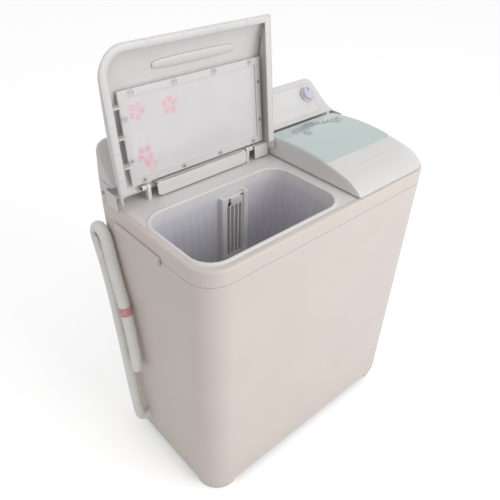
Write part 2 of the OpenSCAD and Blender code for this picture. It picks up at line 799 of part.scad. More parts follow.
// The tub's wall sits just outside the frame's lip and widens below it.
module wash_tub() {
    w = tub_w + 2 * slack;
    d = tub_d + 2 * slack;
    color("silver") translate([wash_x, wash_y, 0]) difference() {
        union() {
            slab(w + 2 * tub_wall, d + 2 * tub_wall, tub_r + tub_wall, tub_floor - tub_wall,
                deck_h - deck_t - slack);
            slab(w + 2 * tub_spread, d + 2 * tub_spread, tub_r + tub_spread, deck_h - deck_t - slack - 3,
                deck_h - deck_t - slack);
        }
        slab(w, d, tub_r, tub_floor, deck_h);
        translate([0, 0, tub_floor - 10]) cylinder(d = 40, h = 20);
        translate([tub_w / 2 - 44, tub_d / 2 - 40, tub_floor - 10]) cylinder(d = 34, h = 20);
        // The overflow slot behind the filter.
        translate([filter_x - wash_x - 12, tub_d / 2 - 2, deck_h - 110]) cube([24, 10, 30]);
        // The fill pipe's mouth.
        translate([fill_x - wash_x, tub_d / 2 - 4, fill_z]) rotate([-90, 0, 0]) cylinder(d = fill_d + 2 * slack, h = 20);
    }
}

filter_x = wash_x + 56;
filter_w = 84;
filter_top = deck_h - 28;
filter_h = 330;
fill_x = wash_x - 120;
fill_z = deck_h - 74;
fill_d = 21.6;
fill_bore = 16;

// The column on the tub's back wall that the filter slides into.
module filter_housing() {
    y1 = wash_y + tub_d / 2;
    color("gainsboro") difference() {
        translate([filter_x - filter_w / 2, y1 - 18, filter_top - filter_h]) cube([filter_w, 18, filter_h]);
        translate([filter_x - filter_w / 2 + 9, y1 - 14, filter_top - 200]) cube([filter_w - 18, 12, 210]);
        translate([filter_x - filter_w / 2 + 14, y1 - 25, filter_top - 196]) cube([filter_w - 28, 20, 210]);
        for (k = [0:6])
            translate([filter_x - 27 + 8 * k, y1 - 25, filter_top - filter_h + 20]) cube([4, 30, 90]);
        translate([filter_x - 12, y1 - 4, filter_top - 90]) cube([24, 10, 30]);
    }
}

// The lint cassette, which lifts out by its tab.
module lint_filter() {
    y1 = wash_y + tub_d / 2;
    x0 = filter_x - filter_w / 2 + 9 + slack;
    w = filter_w - 18 - 2 * slack;
    color("ivory") difference() {
        union() {
            translate([x0, y1 - 14 + slack, filter_top - 200 + slack]) cube([w, 10, 196]);
            translate([filter_x - 16, y1 - 19, filter_top - 18]) cube([32, 8, 14]);
        }
        for (k = [0:3])
            translate([x0 + 8 + 13 * k, y1 - 25, filter_top - 180]) cube([9, 30, 150]);
    }
}

// A dished disc with four swept vanes.
module pulsator() {
    z0 = tub_floor + 6;
    color("white") translate([wash_x, wash_y, z0]) difference() {
        union() {
            cylinder(d = pulsator_d, h = 4);
            cylinder(d = 62, h = 16);
            for (a = [0:90:270])
                rotate([0, 0, a]) intersection() {
                    translate([24, 0, 0]) rotate([90, 0, 0]) translate([0, 0, -6])
                        cylinder(r = pulsator_d / 2 - 32, h = 12);
                    translate([0, -20, 0]) cube([pulsator_d / 2 - 8, 40, 26]);
                }
        }
        translate([0, 0, -40]) cylinder(d = wash_shaft_d, h = 50);
        translate([0, 0, 12]) cylinder(d = 14, h = 40);
        translate([0, 0, 5]) cylinder(d = 6.4, h = 40);
        for (a = [0:30:330], r = [52, 76, 96])
            rotate([0, 0, a + 15]) translate([r, 0, -3]) cylinder(d = 5, h = 40);
    }
}

module pulsator_screw() {
    z0 = tub_floor + 6;
    color("silver") {
        rod(wash_x, wash_y, z0 + 12, z0 + 16, 12);
        rod(wash_x, wash_y, z0 + 10.2, z0 + 12.1, 6);
    }
}

gearbox_top = tub_floor - tub_wall - slack;
gearbox_low = gearbox_top - gearbox_h;

module wash_gearbox() {
    color("darkgray") difference() {
        union() {
            rod(wash_x, wash_y, gearbox_low + 14, gearbox_top, 92);
            rod(wash_x, wash_y, gearbox_low, gearbox_top, 40);
            rod(wash_x, wash_y, gearbox_top - 5, gearbox_top, 130);
            rod(wash_x, wash_y, gearbox_top - 2, tub_floor + 3, 36);
        }
        rod(wash_x, wash_y, gearbox_low - 5, tub_floor + 10, wash_shaft_d + 0.1);
        for (a = [45:90:315])
            rod(wash_x + 56 * cos(a), wash_y + 56 * sin(a), gearbox_top - 8, gearbox_top + 2, 6.5);
    }
}

module wash_shaft() {
    color("silver") rod(wash_x, wash_y, belt_z - pulley_h / 2 - 5, tub_floor + 6 + 10, wash_shaft_d - 0.02);
}

// A pulley with a V groove, a web and a hub.
module v_pulley(x, y, d, bore) {
    translate([x, y, belt_z - pulley_h / 2]) rotate_extrude() difference() {
        translate([bore / 2, 0]) square([d / 2 - bore / 2, pulley_h]);
        polygon([[d / 2 - 7, pulley_h / 2 - 2.6], [d / 2 + 1, pulley_h / 2 - 6.2],
            [d / 2 + 1, pulley_h / 2 + 6.2], [d / 2 - 7, pulley_h / 2 + 2.6]]);
        if (d > 100) {
            translate([18, -1]) square([d / 2 - 30, 6]);
            translate([18, pulley_h - 5]) square([d / 2 - 30, 6]);
        }
    }
}

module wash_pulley() {
    color("gray") v_pulley(wash_x, wash_y, wash_pulley_d, wash_shaft_d);
}

module motor_pulley() {
    color("gray") {
        v_pulley(motor_x, wash_y, motor_pulley_d, 10);
        // The motor's own shaft turns with the pulley.
        rod(motor_x, wash_y, belt_z - pulley_h / 2 - 2, belt_z + pulley_h / 2 + motor_gap + 60, 10);
    }
}

// The belt's outline, offset outwards from the bottom of its groove.
module belt_loop(out) {
    r1 = wash_pulley_d / 2 - 6 + out;
    r2 = motor_pulley_d / 2 - 6 + out;
    a = acos((r1 - r2) / belt_reach);
    circle(r1);
    translate([-belt_reach, 0]) circle(r2);
    polygon([[-r1 * cos(a), r1 * sin(a)], [-belt_reach - r2 * cos(a), r2 * sin(a)],
        [-belt_reach, 0], [-belt_reach - r2 * cos(a), -r2 * sin(a)], [-r1 * cos(a), -r1 * sin(a)], [0, 0]]);
}

module drive_belt() {
    color("black") translate([wash_x, wash_y, belt_z - 2.2]) linear_extrude(4.4) difference() {
        belt_loop(4.5);
        belt_loop(0);
    }
}

module wash_motor() {
    z0 = belt_z + pulley_h / 2 + motor_gap;
    color("slategray") difference() {
        union() {
            rod(motor_x, wash_y, z0 + 6, z0 + wash_motor_h, motor_d - 6);
            rod(motor_x, wash_y, z0 + 30, z0 + wash_motor_h - 22, motor_d);
            rod(motor_x, wash_y, z0, z0 + 7, 34);
        }
        rod(motor_x, wash_y, z0 - 1, z0 + 62, 10.1);
        for (a = [0:30:330])
            rod(motor_x + 40 * cos(a), wash_y + 40 * sin(a), z0 + 5, z0 + 12, 9);
    }
}

motor_plate_z = belt_z + pulley_h / 2 + motor_gap + wash_motor_h;

// The plate that hangs the wash motor under the tub floor, beside the gearbox.
module motor_plate() {
    z1 = gearbox_top - 1;
    color("darkgray") difference() {
        translate([motor_x - 62, wash_y - 62, motor_plate_z + 0.1]) cube([104, 124, 3]);
        for (sy = [-1, 1])
            rod(motor_x - 20, wash_y + sy * 50, motor_plate_z - 5, z1 + 5, 10.2);
        rod(wash_x, wash_y, motor_plate_z - 5, motor_plate_z + 9, 134);
    }
}

module motor_bushes() {
    z0 = motor_plate_z + 0.1;
    color("black") for (sy = [-1, 1])
        difference() {
            union() {
                rod(motor_x - 20, wash_y + sy * 50, z0, gearbox_top, 10);
                rod(motor_x - 20, wash_y + sy * 50, z0 + 3.1, gearbox_top, 16);
            }
            rod(motor_x - 20, wash_y + sy * 50, z0 - 1, gearbox_top + 1, 5);
        }
}

/* Spin side */

module spin_tub() {
    color("silver") difference() {
        union() {
            rod(spin_x, spin_y, tub_floor - tub_wall, deck_h - deck_t - slack, 2 * spin_tub_r + 2 * tub_wall);
            rod(spin_x, spin_y, deck_h - 22, deck_h - deck_t - slack, 2 * spin_tub_r + 10);
        }
        rod(spin_x, spin_y, tub_floor, deck_h + 1, 2 * spin_tub_r);
        rod(spin_x, spin_y, tub_floor - 10, tub_floor + 10, 64);
        rod(spin_x - spin_tub_r + 30, spin_y + 40, tub_floor - 10, tub_floor + 10, 30);
    }
}

// The perforated basket, with a hub in its floor and a rounded top lip.
module spin_basket() {
    r = basket_d / 2;
    color("white") translate([spin_x, spin_y, basket_z]) difference() {
        union() {
            rotate_extrude() difference() {
                union() {
                    square([r, basket_h]);
                    translate([r - 7, basket_h - 7]) square([10, 7]);
                }
                translate([0, 3]) square([r - 2.5, basket_h - 9]);
                translate([0, basket_h - 8]) square([r - 16, 10]);
            }
            cylinder(d = 50, h = 26);
            for (a = [0:60:300])
                rotate([0, 0, a]) translate([20, -2, 0]) cube([r - 22, 4, 12]);
        }
        translate([0, 0, -1]) cylinder(d = spin_shaft_d, h = 22);
        // Rows of upright slots; each cut runs right across and makes two.
        for (row = [0:4], k = [0:8])
            translate([0, 0, 52 + 58 * row]) rotate([0, 0, 20 * k + 10 * (row % 2)])
                cube([2 * r + 10, 4, 26], center = true);
    }
}

module spin_shaft() {
    color("silver") rod(spin_x, spin_y, spin_motor_z + spin_motor_h - 40, basket_z + 20.9, spin_shaft_d - 0.02);
}

// The rubber bellows that seals the spin tub's floor round the shaft.
module spin_seal() {
    z0 = tub_floor - tub_wall;
    color("dimgray") translate([spin_x, spin_y, 0]) rotate_extrude() polygon([
        [spin_shaft_d / 2 + 0.4, z0 - 24], [16, z0 - 24], [16, z0 - 14], [26, z0 - 10], [20, z0 - 4],
        [36, z0 - 3], [36, z0 - 0.1], [31.5, z0 - 0.1], [31.5, z0 + tub_wall], [28, z0 + tub_wall],
        [28, z0 - 1], [14, z0 - 3], [20, z0 - 9], [12, z0 - 12], [12, z0 - 20], [spin_shaft_d / 2 + 0.4, z0 - 20]]);
}

module brake_drum() {
    color("gray") difference() {
        union() {
            pipe(spin_x, spin_y, brake_z, brake_z + brake_h, brake_d, brake_d - 8);
            rod(spin_x, spin_y, brake_z, brake_z + 5, brake_d - 6);
            rod(spin_x, spin_y, brake_z - 8, brake_z + brake_h + 4, 34);
        }
        rod(spin_x, spin_y, brake_z - 20, brake_z + brake_h + 20, spin_shaft_d);
    }
}

brake_pivot_y = spin_y + brake_d / 2 + 16;
brake_pivot_x = spin_x - 40;

// A lever with a shoe that presses on the drum.
module brake_lever() {
    z0 = brake_z + 8;
    color("darkgray") difference() {
        union() {
            translate([brake_pivot_x - 8, brake_pivot_y - 6, z0]) cube([96, 12, 6]);
            rod(brake_pivot_x, brake_pivot_y, z0, z0 + 6, 18);
            difference() {
                translate([spin_x - 16, brake_pivot_y - 16, z0 - 4]) cube([32, 16, 14]);
                rod(spin_x, spin_y, z0 - 10, z0 + 30, brake_d + 8);
            }
        }
        rod(brake_pivot_x, brake_pivot_y, z0 - 1, z0 + 9, 8.1);
    }
}

function helix(x, y, z0, h, r, turns, n) = [for (i = [0:n])
    [x + r * cos(360 * turns * i / n), y + r * sin(360 * turns * i / n), z0 + h * i / n]];

module brake_spring() {
    x0 = brake_pivot_x + 76;
    color("silver") sweep([for (p = helix(0, 0, 0, 44, 4.5, 5, 60)) [x0 + p[0], brake_pivot_y + 7.1 + p[2],
        brake_z + 11 + p[1]]], 0.8, 6, [0, 1, 0]);
}

module spin_motor() {
    z0 = spin_motor_z;
    color("slategray") difference() {
        union() {
            rod(spin_x, spin_y, z0, z0 + spin_motor_h - 12, motor_d - 6);
            rod(spin_x, spin_y, z0 + 40, z0 + spin_motor_h - 44, motor_d);
            rod(spin_x, spin_y, z0, z0 + spin_motor_h, 44);
        }
        rod(spin_x, spin_y, z0 + spin_motor_h - 41, z0 + spin_motor_h + 1, spin_shaft_d + 0.1);
    }
    // The post that carries the brake lever's pivot.
    color("slategray") {
        rod(brake_pivot_x, brake_pivot_y, brake_z + 2, brake_z + 18, 8);
        rod(brake_pivot_x, brake_pivot_y, z0 + 96, brake_z + 7.7, 16);
        translate([brake_pivot_x - 8, spin_y + motor_d / 2 - 22, z0 + 96])
            cube([16, brake_pivot_y - spin_y - motor_d / 2 + 22, 8]);
    }
}

module spin_motor_plate() {
    color("darkgray") difference() {
        translate([spin_x, spin_y, spin_motor_z - 5]) cylinder(r = spring_r + 16, h = 4.9);
        for (a = [0:45:315])
            rod(spin_x + 46 * cos(a), spin_y + 46 * sin(a), spin_motor_z - 8, spin_motor_z + 1, 16);
        for (a = [0, 120, 240])
            rod(spin_x + spring_r * cos(a + 90), spin_y + spring_r * sin(a + 90), spin_motor_z - 8,
                spin_motor_z + 1, 8.2);
    }
}

// Three coil springs with rubber seats carry the spin motor on the base.
module suspension_springs() {
    for (a = [0, 120, 240]) {
        x = spin_x + spring_r * cos(a + 90);
        y = spin_y + spring_r * sin(a + 90);
        color("silver") sweep(helix(x, y, spring_z + 9.2, spring_h - 16, 11, 5, 60), 2, 6, [0, 0, 1]);
        color("black") {
            rod(x, y, spring_z, spring_z + 7, 32);
            rod(x, y, spring_z + 7, spring_z + spring_h - 5, 15);
            rod(x, y, spring_z + spring_h - 5, spring_z + spring_h + 0.9, 32);
        }
    }
}

/* Water */

module drain_valve() {
    color("gainsboro") {
        difference() {
            union() {
                rod(valve_x, valve_y, valve_z, valve_z + valve_h, 54);
                rod(valve_x, valve_y, valve_z + valve_h, valve_z + valve_h + 6, 44);
                // The inlet from the wash tub's floor.
                x_rod(wash_x + tub_w / 2 - 44, valve_x, wash_y + tub_d / 2 - 40, valve_z + 40, 30);
                rod(wash_x + tub_w / 2 - 44, wash_y + tub_d / 2 - 40, valve_z + 25, tub_floor - 0.2, 31);
                translate([valve_x, wash_y + tub_d / 2 - 40, valve_z + 40]) rotate([-90, 0, 0])
                    cylinder(d = 30, h = valve_y - wash_y - tub_d / 2 + 40);
            }
            rod(valve_x, valve_y, valve_z + 4, valve_z + valve_h - 3, 46);
            rod(valve_x, valve_y, valve_z, valve_z + valve_h + 10, 10);
            rod(wash_x + tub_w / 2 - 44, wash_y + tub_d / 2 - 40, valve_z + 30, tub_floor + 2, 25);
            x_rod(wash_x + tub_w / 2 - 40, valve_x, wash_y + tub_d / 2 - 40, valve_z + 40, 25);
            translate([valve_x, wash_y + tub_d / 2 - 40, valve_z + 40]) rotate([-90, 0, 0])
                cylinder(d = 25, h = valve_y - wash_y - tub_d / 2 + 40);
        }
    }
}

// The valve's plunger, lifted by its rod.
module drain_plunger() {
    color("dimgray") {
        rod(valve_x, valve_y, valve_z + 4.3, valve_z + 20, 40);
        rod(valve_x, valve_y, valve_z + 19, link_top, 6);
    }
}

link_top = skirt_z - 30;
duct_z = outlet_z;
duct_d = 27;
elbow_x = outlet_x + 38;

// The low duct from the valve to the outlet on the left side.
module drain_duct() {
    color("gainsboro") difference() {
        union() {
            rod(valve_x, valve_y, duct_z - duct_d / 2, valve_z - 0.1, duct_d);
            x_rod(elbow_x, valve_x, valve_y, duct_z, duct_d);
            y_rod(elbow_x, outlet_y, valve_y, duct_z, duct_d);
            for (p = [[valve_x, valve_y], [elbow_x, valve_y], [elbow_x, outlet_y]])
                translate([p[0], p[1], duct_z]) cube(duct_d + 5, center = true);
            x_rod(outlet_x, elbow_x, outlet_y, duct_z, duct_d);
            x_rod(outlet_x - 6, outlet_x + 20, outlet_y, outlet_z, hose_d + 5);
        }
        x_rod(outlet_x - 10, elbow_x, outlet_y, duct_z, duct_d - 6);
        y_rod(elbow_x, outlet_y, valve_y, duct_z, duct_d - 6);
        x_rod(elbow_x, valve_x, valve_y, duct_z, duct_d - 6);
        rod(valve_x, valve_y, duct_z, valve_z + 5, duct_d - 6);
    }
}

module overflow_pipe() {
    y0 = wash_y + tub_d / 2 + 24;
    color("gainsboro") {
        pipe(filter_x, y0, tub_floor + 20, deck_h - 70, 28, 23);
        difference() {
            translate([filter_x - 14, wash_y + tub_d / 2 + tub_wall + slack + 0.1, deck_h - 112])
                cube([28, y0 - wash_y - tub_d / 2 - tub_wall - 4, 34]);
            rod(filter_x, y0, deck_h - 120, deck_h - 60, 26);
            translate([filter_x - 11, wash_y + tub_d / 2, deck_h - 108]) cube([22, 40, 26]);
        }
    }
}

module fill_pipe() {
    y0 = wash_y + tub_d / 2 + tub_wall + slack;
    color("white") {
        translate([fill_x, y0 - tub_wall, fill_z]) rotate([-90, 0, 0]) difference() {
            cylinder(d = fill_d, h = back_y - y0 + tub_wall);
            translate([0, 0, -1]) cylinder(d = fill_bore, h = back_y - y0 + 40);
        }
        translate([fill_x, y0 + slack, fill_z]) rotate([-90, 0, 0]) difference() {
            cylinder(d = fill_d + 10, h = 3);
            translate([0, 0, -1]) cylinder(d = fill_d - 1, h = 6);
        }
    }
}

/* Electrics */

// A sealed switch at the foot of the console, which senses the spin lid's hinge.
module lid_switch() {
    x = spin_ear_r - 40;
    color("ivory") {
        rib(x, x + 22, console_front - 15, console_front - slack, deck_h, deck_h + 20);
        rib(x + 7, x + 15, console_front - 12, console_front - 6, deck_h + 19, deck_h + 23);
    }
}

module capacitors() {
    z0 = foot_h + base_t;
    color("lightgray") for (k = [0, 1]) {
        x = divide_x + 80 + 62 * k;
        y = back_y - 62;
        rod(x, y, z0 + 8, z0 + 82, 38);
        rod(x, y, z0 + 81, z0 + 90, 14);
        rod(x, y, z0, z0 + 12, 46);
    }
}

module cord_gland() {
    color("dimgray") translate([gland_x, back_y - taper_at(gland_z) + 4, gland_z]) rotate([90, 0, 0]) difference() {
        union() {
            cylinder(d = gland_d + 8, h = 3.5);
            cylinder(d = gland_d - 0.6, h = 14);
        }
        translate([0, 0, -1]) cylinder(d = 8, h = 20);
    }
}

/* Drain hose */

hook_y = 167;
hook_z = 706;

// The peg on the body's side that the folded hose hangs over.
module hose_hook() {
    x1 = left_x + taper_at(hook_z);
    color("white") {
        x_rod(left_x - hose_d - 3, x1 - slack, hook_y, hook_z, 16);
        x_rod(left_x - hose_d - 6, left_x - hose_d - 3, hook_y, hook_z, 26);
        x_rod(x1 - 3, x1 - slack, hook_y, hook_z, 26);
    }
}

// The band of tape round the hose's free run.
module hose_tie() {
    p = [hose_route[21] + [0, -0.5, -2], (hose_route[21] + hose_route[22]) / 2, hose_route[22] + [0, 0.5, 2]];
    q = [p[0] * 0.62 + p[2] * 0.38, p[0] * 0.38 + p[2] * 0.62];
    color("lightpink") difference() {
        sweep(q, hose_d / 2 + 1.2, 24);
        sweep([q[0] * 1.5 - q[1] * 0.5, q[1] * 1.5 - q[0] * 0.5], hose_d / 2 + 0.1, 24);
    }
}

module drain_hose() {
    color("whitesmoke") sweep(hose_route, hose_d / 2, hose_sides);
}

cabinet();
base_plate();
feet();
rear_cover();
rear_screws();
top_frame();
grips();
console_shell();
console_panel();
console_screws();
wash_timer_knob();
drain_knob();
spin_timer_knob();
wash_timer();
spin_timer();
drain_selector();
wash_lid();
wash_lid_frame();
wash_lid_window();
wash_lid_screws();
wash_lid_pins();
spin_lid();
spin_lid_glass();
spin_lid_pins();
spin_safety_lid();
wash_tub();
filter_housing();
lint_filter();
pulsator();
pulsator_screw();
wash_gearbox();
wash_shaft();
wash_pulley();
drive_belt();
motor_pulley();
wash_motor();
motor_plate();
motor_bushes();
spin_tub();
spin_basket();
spin_shaft();
spin_seal();
brake_drum();
brake_lever();
brake_spring();
spin_motor();
spin_motor_plate();
suspension_springs();
drain_valve();
drain_plunger();
overflow_pipe();
drain_duct();
lid_switch();
capacitors();
fill_pipe();
cord_gland();
hose_hook();
hose_tie();
drain_hose();
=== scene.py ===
# %% [markdown]
# # A twin-tub washing machine
# The machine has a wash tub under an open lid and a spin drier under a shut one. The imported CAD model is
# loaded first and stays as it is: it says where everything goes and how it moves. The pieces below are
# the skins that the eye sees, worked out with numpy, and each one rides on the CAD body that it belongs to.

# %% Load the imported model
import json
import math

import bmesh
import bpy
import numpy as np
from mathutils import Matrix, Vector


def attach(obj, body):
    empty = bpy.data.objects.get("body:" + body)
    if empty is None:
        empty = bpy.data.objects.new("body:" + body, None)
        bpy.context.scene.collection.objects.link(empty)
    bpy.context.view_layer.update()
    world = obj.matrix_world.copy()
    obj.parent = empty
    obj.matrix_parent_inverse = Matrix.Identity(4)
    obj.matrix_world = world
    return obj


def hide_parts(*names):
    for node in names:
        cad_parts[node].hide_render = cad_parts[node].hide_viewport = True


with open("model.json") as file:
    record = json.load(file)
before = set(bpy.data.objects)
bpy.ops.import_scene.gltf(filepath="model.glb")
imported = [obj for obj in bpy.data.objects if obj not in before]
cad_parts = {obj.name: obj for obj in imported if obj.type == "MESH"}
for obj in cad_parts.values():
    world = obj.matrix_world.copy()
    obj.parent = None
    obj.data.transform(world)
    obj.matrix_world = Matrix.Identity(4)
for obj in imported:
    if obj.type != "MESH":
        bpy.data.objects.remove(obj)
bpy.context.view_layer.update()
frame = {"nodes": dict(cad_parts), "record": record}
MM = 0.001

# %% [markdown]
# ## The camera
# The camera stands in front of the machine's left corner, a little above the open lid's height, and looks
# down at it. It is made first.

# %% Camera
def camera_axes(yaw, pitch, roll):
    """Forward is level heading yaw tipped down by pitch; right and up are square to it, turned by roll."""
    forward = Vector((math.sin(yaw) * math.cos(pitch), math.cos(yaw) * math.cos(pitch), -math.sin(pitch)))
    right = Vector((math.cos(yaw), -math.sin(yaw), 0))
    up = right.cross(forward)
    return (forward, right * math.cos(roll) + up * math.sin(roll), up * math.cos(roll) - right * math.sin(roll))


forward, right, up = camera_axes(math.radians(42.55), math.radians(36.02), math.radians(1.44))
camera_data = bpy.data.cameras.new("camera")
camera_data.lens = 39.2
camera_data.sensor_width = 36
camera = bpy.data.objects.new("camera", camera_data)
camera.matrix_world = Matrix.Translation((-0.8668, -0.8717, 1.4622)) @ Matrix((right, up, -forward)).transposed().to_4x4()
bpy.context.scene.collection.objects.link(camera)
bpy.context.scene.camera = camera
print("camera", [round(c, 3) for c in camera.location])

# %% [markdown]
# ## Materials
# Almost everything here is injection-moulded plastic: polypropylene and ABS, straight from a polished steel
# mould. Such a surface has one even colour, a satin gloss, a very faint waviness that follows how the melt
# cooled, and a fine grain. One function makes all of these finishes from their real sizes in millimetres.

# %% A colour and a node
def linear(code):
    """Turns an sRGB hex colour into linear light: each channel over 12.92 when dark, else a power of 2.4."""
    srgb = np.array([int(code[i:i + 2], 16) for i in (0, 2, 4)]) / 255
    light = np.where(srgb <= 0.04045, srgb / 12.92, ((srgb + 0.055) / 1.055) ** 2.4)
    return (*light.tolist(), 1.0)


def add(tree, kind, sockets=None, **settings):
    """Adds one node with its settings. A socket gets a value, or a link when it is given another's output."""
    made = tree.nodes.new("ShaderNode" + kind)
    for key, value in settings.items():
        setattr(made, key, value)
    for key, value in (sockets or {}).items():
        if isinstance(value, bpy.types.NodeSocket):
            tree.links.new(value, made.inputs[key])
        else:
            made.inputs[key].default_value = value
    return made


def new_material(name):
    """An empty material with its Principled shader and its place on the object."""
    material = bpy.data.materials.new(name)
    material.use_nodes = True
    tree = material.node_tree
    place = add(tree, "TexCoord").outputs["Object"]
    return material, tree, tree.nodes["Principled BSDF"], place

# %% Moulded plastic
def moulded(name, colour, shade, gloss, wave_mm=90, grain_mm=1.2, grain=0.12, coat=0.0, ior=1.49):
    """Plastic from a steel mould: two close tones drift over wave_mm, and a grain of grain_mm breaks the gloss."""
    material, tree, shader, place = new_material(name)
    drift = add(tree, "TexNoise", {"Vector": place, "Scale": 1 / (wave_mm * MM), "Detail": 3.0})
    fine = add(tree, "TexNoise", {"Vector": place, "Scale": 1 / (grain_mm * MM), "Detail": 2.0})
    tone = add(tree, "ValToRGB", {"Fac": drift.outputs["Fac"]})
    tone.color_ramp.elements[0].position = 0.35
    tone.color_ramp.elements[0].color = linear(shade)
    tone.color_ramp.elements[1].position = 0.65
    tone.color_ramp.elements[1].color = linear(colour)
    sheen = add(tree, "MapRange", {"Value": drift.outputs["Fac"], "To Min": gloss - 0.02, "To Max": gloss + 0.03})
    bump = add(tree, "Bump", {"Height": fine.outputs["Fac"], "Strength": grain, "Distance": 0.1 * MM})
    tree.links.new(tone.outputs["Color"], shader.inputs["Base Color"])
    tree.links.new(sheen.outputs["Result"], shader.inputs["Roughness"])
    tree.links.new(bump.outputs["Normal"], shader.inputs["Normal"])
    shader.inputs["IOR"].default_value = ior
    shader.inputs["Coat Weight"].default_value = coat
    shader.inputs["Coat Roughness"].default_value = 0.12
    return material


# Polypropylene body, gone a little pinkish with age; the top mouldings are ABS and stay whiter and glossier.
body_pp = moulded("satin_polypropylene_body", "D3C9C3", "D0C6C0", 0.38, wave_mm=160)
frame_abs = moulded("white_abs_frame", "DCDAD9", "DAD7D6", 0.30)
lid_abs = moulded("white_abs_lid", "D9D7D5", "D6D4D2", 0.30)
console_abs = moulded("white_abs_console", "D6D4D3", "D3D1D0", 0.32)
tub_pp = moulded("grey_polypropylene_tub", "D6D4DB", "D1CFD6", 0.36)
inner_pp = moulded("natural_polypropylene", "DEDDDA", "DAD9D6", 0.45)
knob_abs = moulded("lilac_white_abs_knob", "CFCBD6", "C8C4D0", 0.25, coat=0.3)
grey_pp = moulded("grey_filled_polypropylene", "6E6E70", "626264", 0.55)
rubber = moulded("black_nitrile_rubber", "2A2A2B", "232324", 0.72, grain_mm=0.8, grain=0.3)
hose_pe = moulded("white_polyethylene_hose", "E6E5E1", "E1DFDB", 0.42, wave_mm=40)
tie_tape = moulded("pink_pvc_tape", "D9A0A4", "C98A90", 0.35, wave_mm=14)
petal_ink = moulded("pink_screen_ink", "EBC6D0", "E6B4C4", 0.35, wave_mm=16)
leaf_ink = moulded("grey_screen_ink", "8F9A9C", "A4ADAE", 0.30, wave_mm=22)
dial_ink = moulded("dark_screen_ink", "5B5E66", "4E5159", 0.40)
window_sheet = moulded("printed_acrylic_window", "DEDCDC", "DBD8D9", 0.14, wave_mm=70, grain=0.02, coat=0.5)
panel_film = moulded("printed_polyester_panel", "DCDBDA", "D6D5D4", 0.22, grain=0.05)

# %% Glass painted on its back
def painted_glass(name, colour, shade):
    """Float glass with pale green paint on its back: the colour is even, and the front is smooth and bright."""
    material, tree, shader, place = new_material(name)
    drift = add(tree, "TexNoise", {"Vector": place, "Scale": 1 / (120 * MM), "Detail": 1.0})
    tone = add(tree, "Mix", {"Factor": drift.outputs["Fac"], 6: linear(colour), 7: linear(shade)}, data_type="RGBA")
    tree.links.new(tone.outputs[2], shader.inputs["Base Color"])
    shader.inputs["Roughness"].default_value = 0.10
    shader.inputs["IOR"].default_value = 1.52
    shader.inputs["Coat Weight"].default_value = 0.6
    shader.inputs["Coat Roughness"].default_value = 0.04
    return material


green_glass = painted_glass("back_painted_float_glass", "B9C8C5", "B5C4C1")

# %% Metals
def rolled_metal(name, colour, shade, gloss, streak_mm, metallic=1.0):
    """Rolled, plated or cast metal: fine streaks along X of streak_mm make the gloss uneven across them."""
    material, tree, shader, place = new_material(name)
    lie = add(tree, "Mapping", {"Vector": place, "Scale": (0.04, 1.0, 1.0)})
    streak = add(tree, "TexNoise", {"Vector": lie.outputs["Vector"], "Scale": 1 / (streak_mm * MM), "Detail": 4.0})
    tone = add(tree, "Mix", {"Factor": streak.outputs["Fac"], 6: linear(colour), 7: linear(shade)}, data_type="RGBA")
    sheen = add(tree, "MapRange", {"Value": streak.outputs["Fac"], "To Min": gloss - 0.08, "To Max": gloss + 0.1})
    bump = add(tree, "Bump", {"Height": streak.outputs["Fac"], "Strength": 0.15, "Distance": 0.05 * MM})
    tree.links.new(tone.outputs[2], shader.inputs["Base Color"])
    tree.links.new(sheen.outputs["Result"], shader.inputs["Roughness"])
    tree.links.new(bump.outputs["Normal"], shader.inputs["Normal"])
    shader.inputs["Metallic"].default_value = metallic
    return material


zinc_steel = rolled_metal("zinc_plated_steel", "B9BBBE", "A4A6AA", 0.34, 0.8)
cast_alloy = rolled_metal("die_cast_aluminium", "A9ABAD", "989A9D", 0.46, 2.5)
painted_steel = rolled_metal("black_painted_steel", "4A4D52", "3E4146", 0.42, 3.0, metallic=0.0)

# %% [markdown]
# ## Helpers for surfaces
# A moulded part is a skin, so each one is a grid of points: one direction runs round or along the part and
# the other runs across it. A grid becomes a mesh in one step, with no loop over its points.

# %% From grids to objects
record = frame["record"]
body_of_node = {n: b for b, nodes in record["behaviour"]["bodies"].items() for n in nodes}
slot_of_node = {p["node"]: p["material_slot"] for p in record["subparts"]}


def finish_piece(name, mesh, material, body, replaces=(), angle=35):
    """Puts a mesh in the scene, smooth except where faces meet at more than the angle, on its body."""
    mesh.shade_smooth()
    mesh.set_sharp_from_angle(angle=math.radians(angle))
    piece = bpy.data.objects.new(name, mesh)
    bpy.context.scene.collection.objects.link(piece)
    piece.data.materials.clear()
    piece.data.materials.append(material)
    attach(piece, body)
    if replaces:
        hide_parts(*replaces)
    return piece


def grid_mesh(name, points, round_u=True, round_v=False, caps=(False, False), flip=False):
    """Joins a grid of points (rows v, columns u, in millimetres) into quads; a cap closes the first or last row."""
    rows, cols = points.shape[:2]
    v, u = np.meshgrid(np.arange(rows if round_v else rows - 1), np.arange(cols if round_u else cols - 1), indexing="ij")
    v1, u1 = (v + 1) % rows, (u + 1) % cols
    quads = np.stack([v * cols + u, v * cols + u1, v1 * cols + u1, v1 * cols + u], axis=-1).reshape(-1, 4)
    faces = quads.tolist()
    if caps[0]:
        faces.append(np.arange(cols)[::-1].tolist())
    if caps[1]:
        faces.append(((rows - 1) * cols + np.arange(cols)).tolist())
    mesh = bpy.data.meshes.new(name)
    mesh.from_pydata((points.reshape(-1, 3) * MM).tolist(), [], faces)
    bm = bmesh.new()
    bm.from_mesh(mesh)
    bmesh.ops.remove_doubles(bm, verts=bm.verts, dist=1e-6)
    bmesh.ops.dissolve_degenerate(bm, edges=bm.edges, dist=1e-6)
    bmesh.ops.recalc_face_normals(bm, faces=bm.faces)
    if flip:
        bmesh.ops.reverse_faces(bm, faces=bm.faces)
    bm.to_mesh(mesh)
    bm.free()
    return mesh


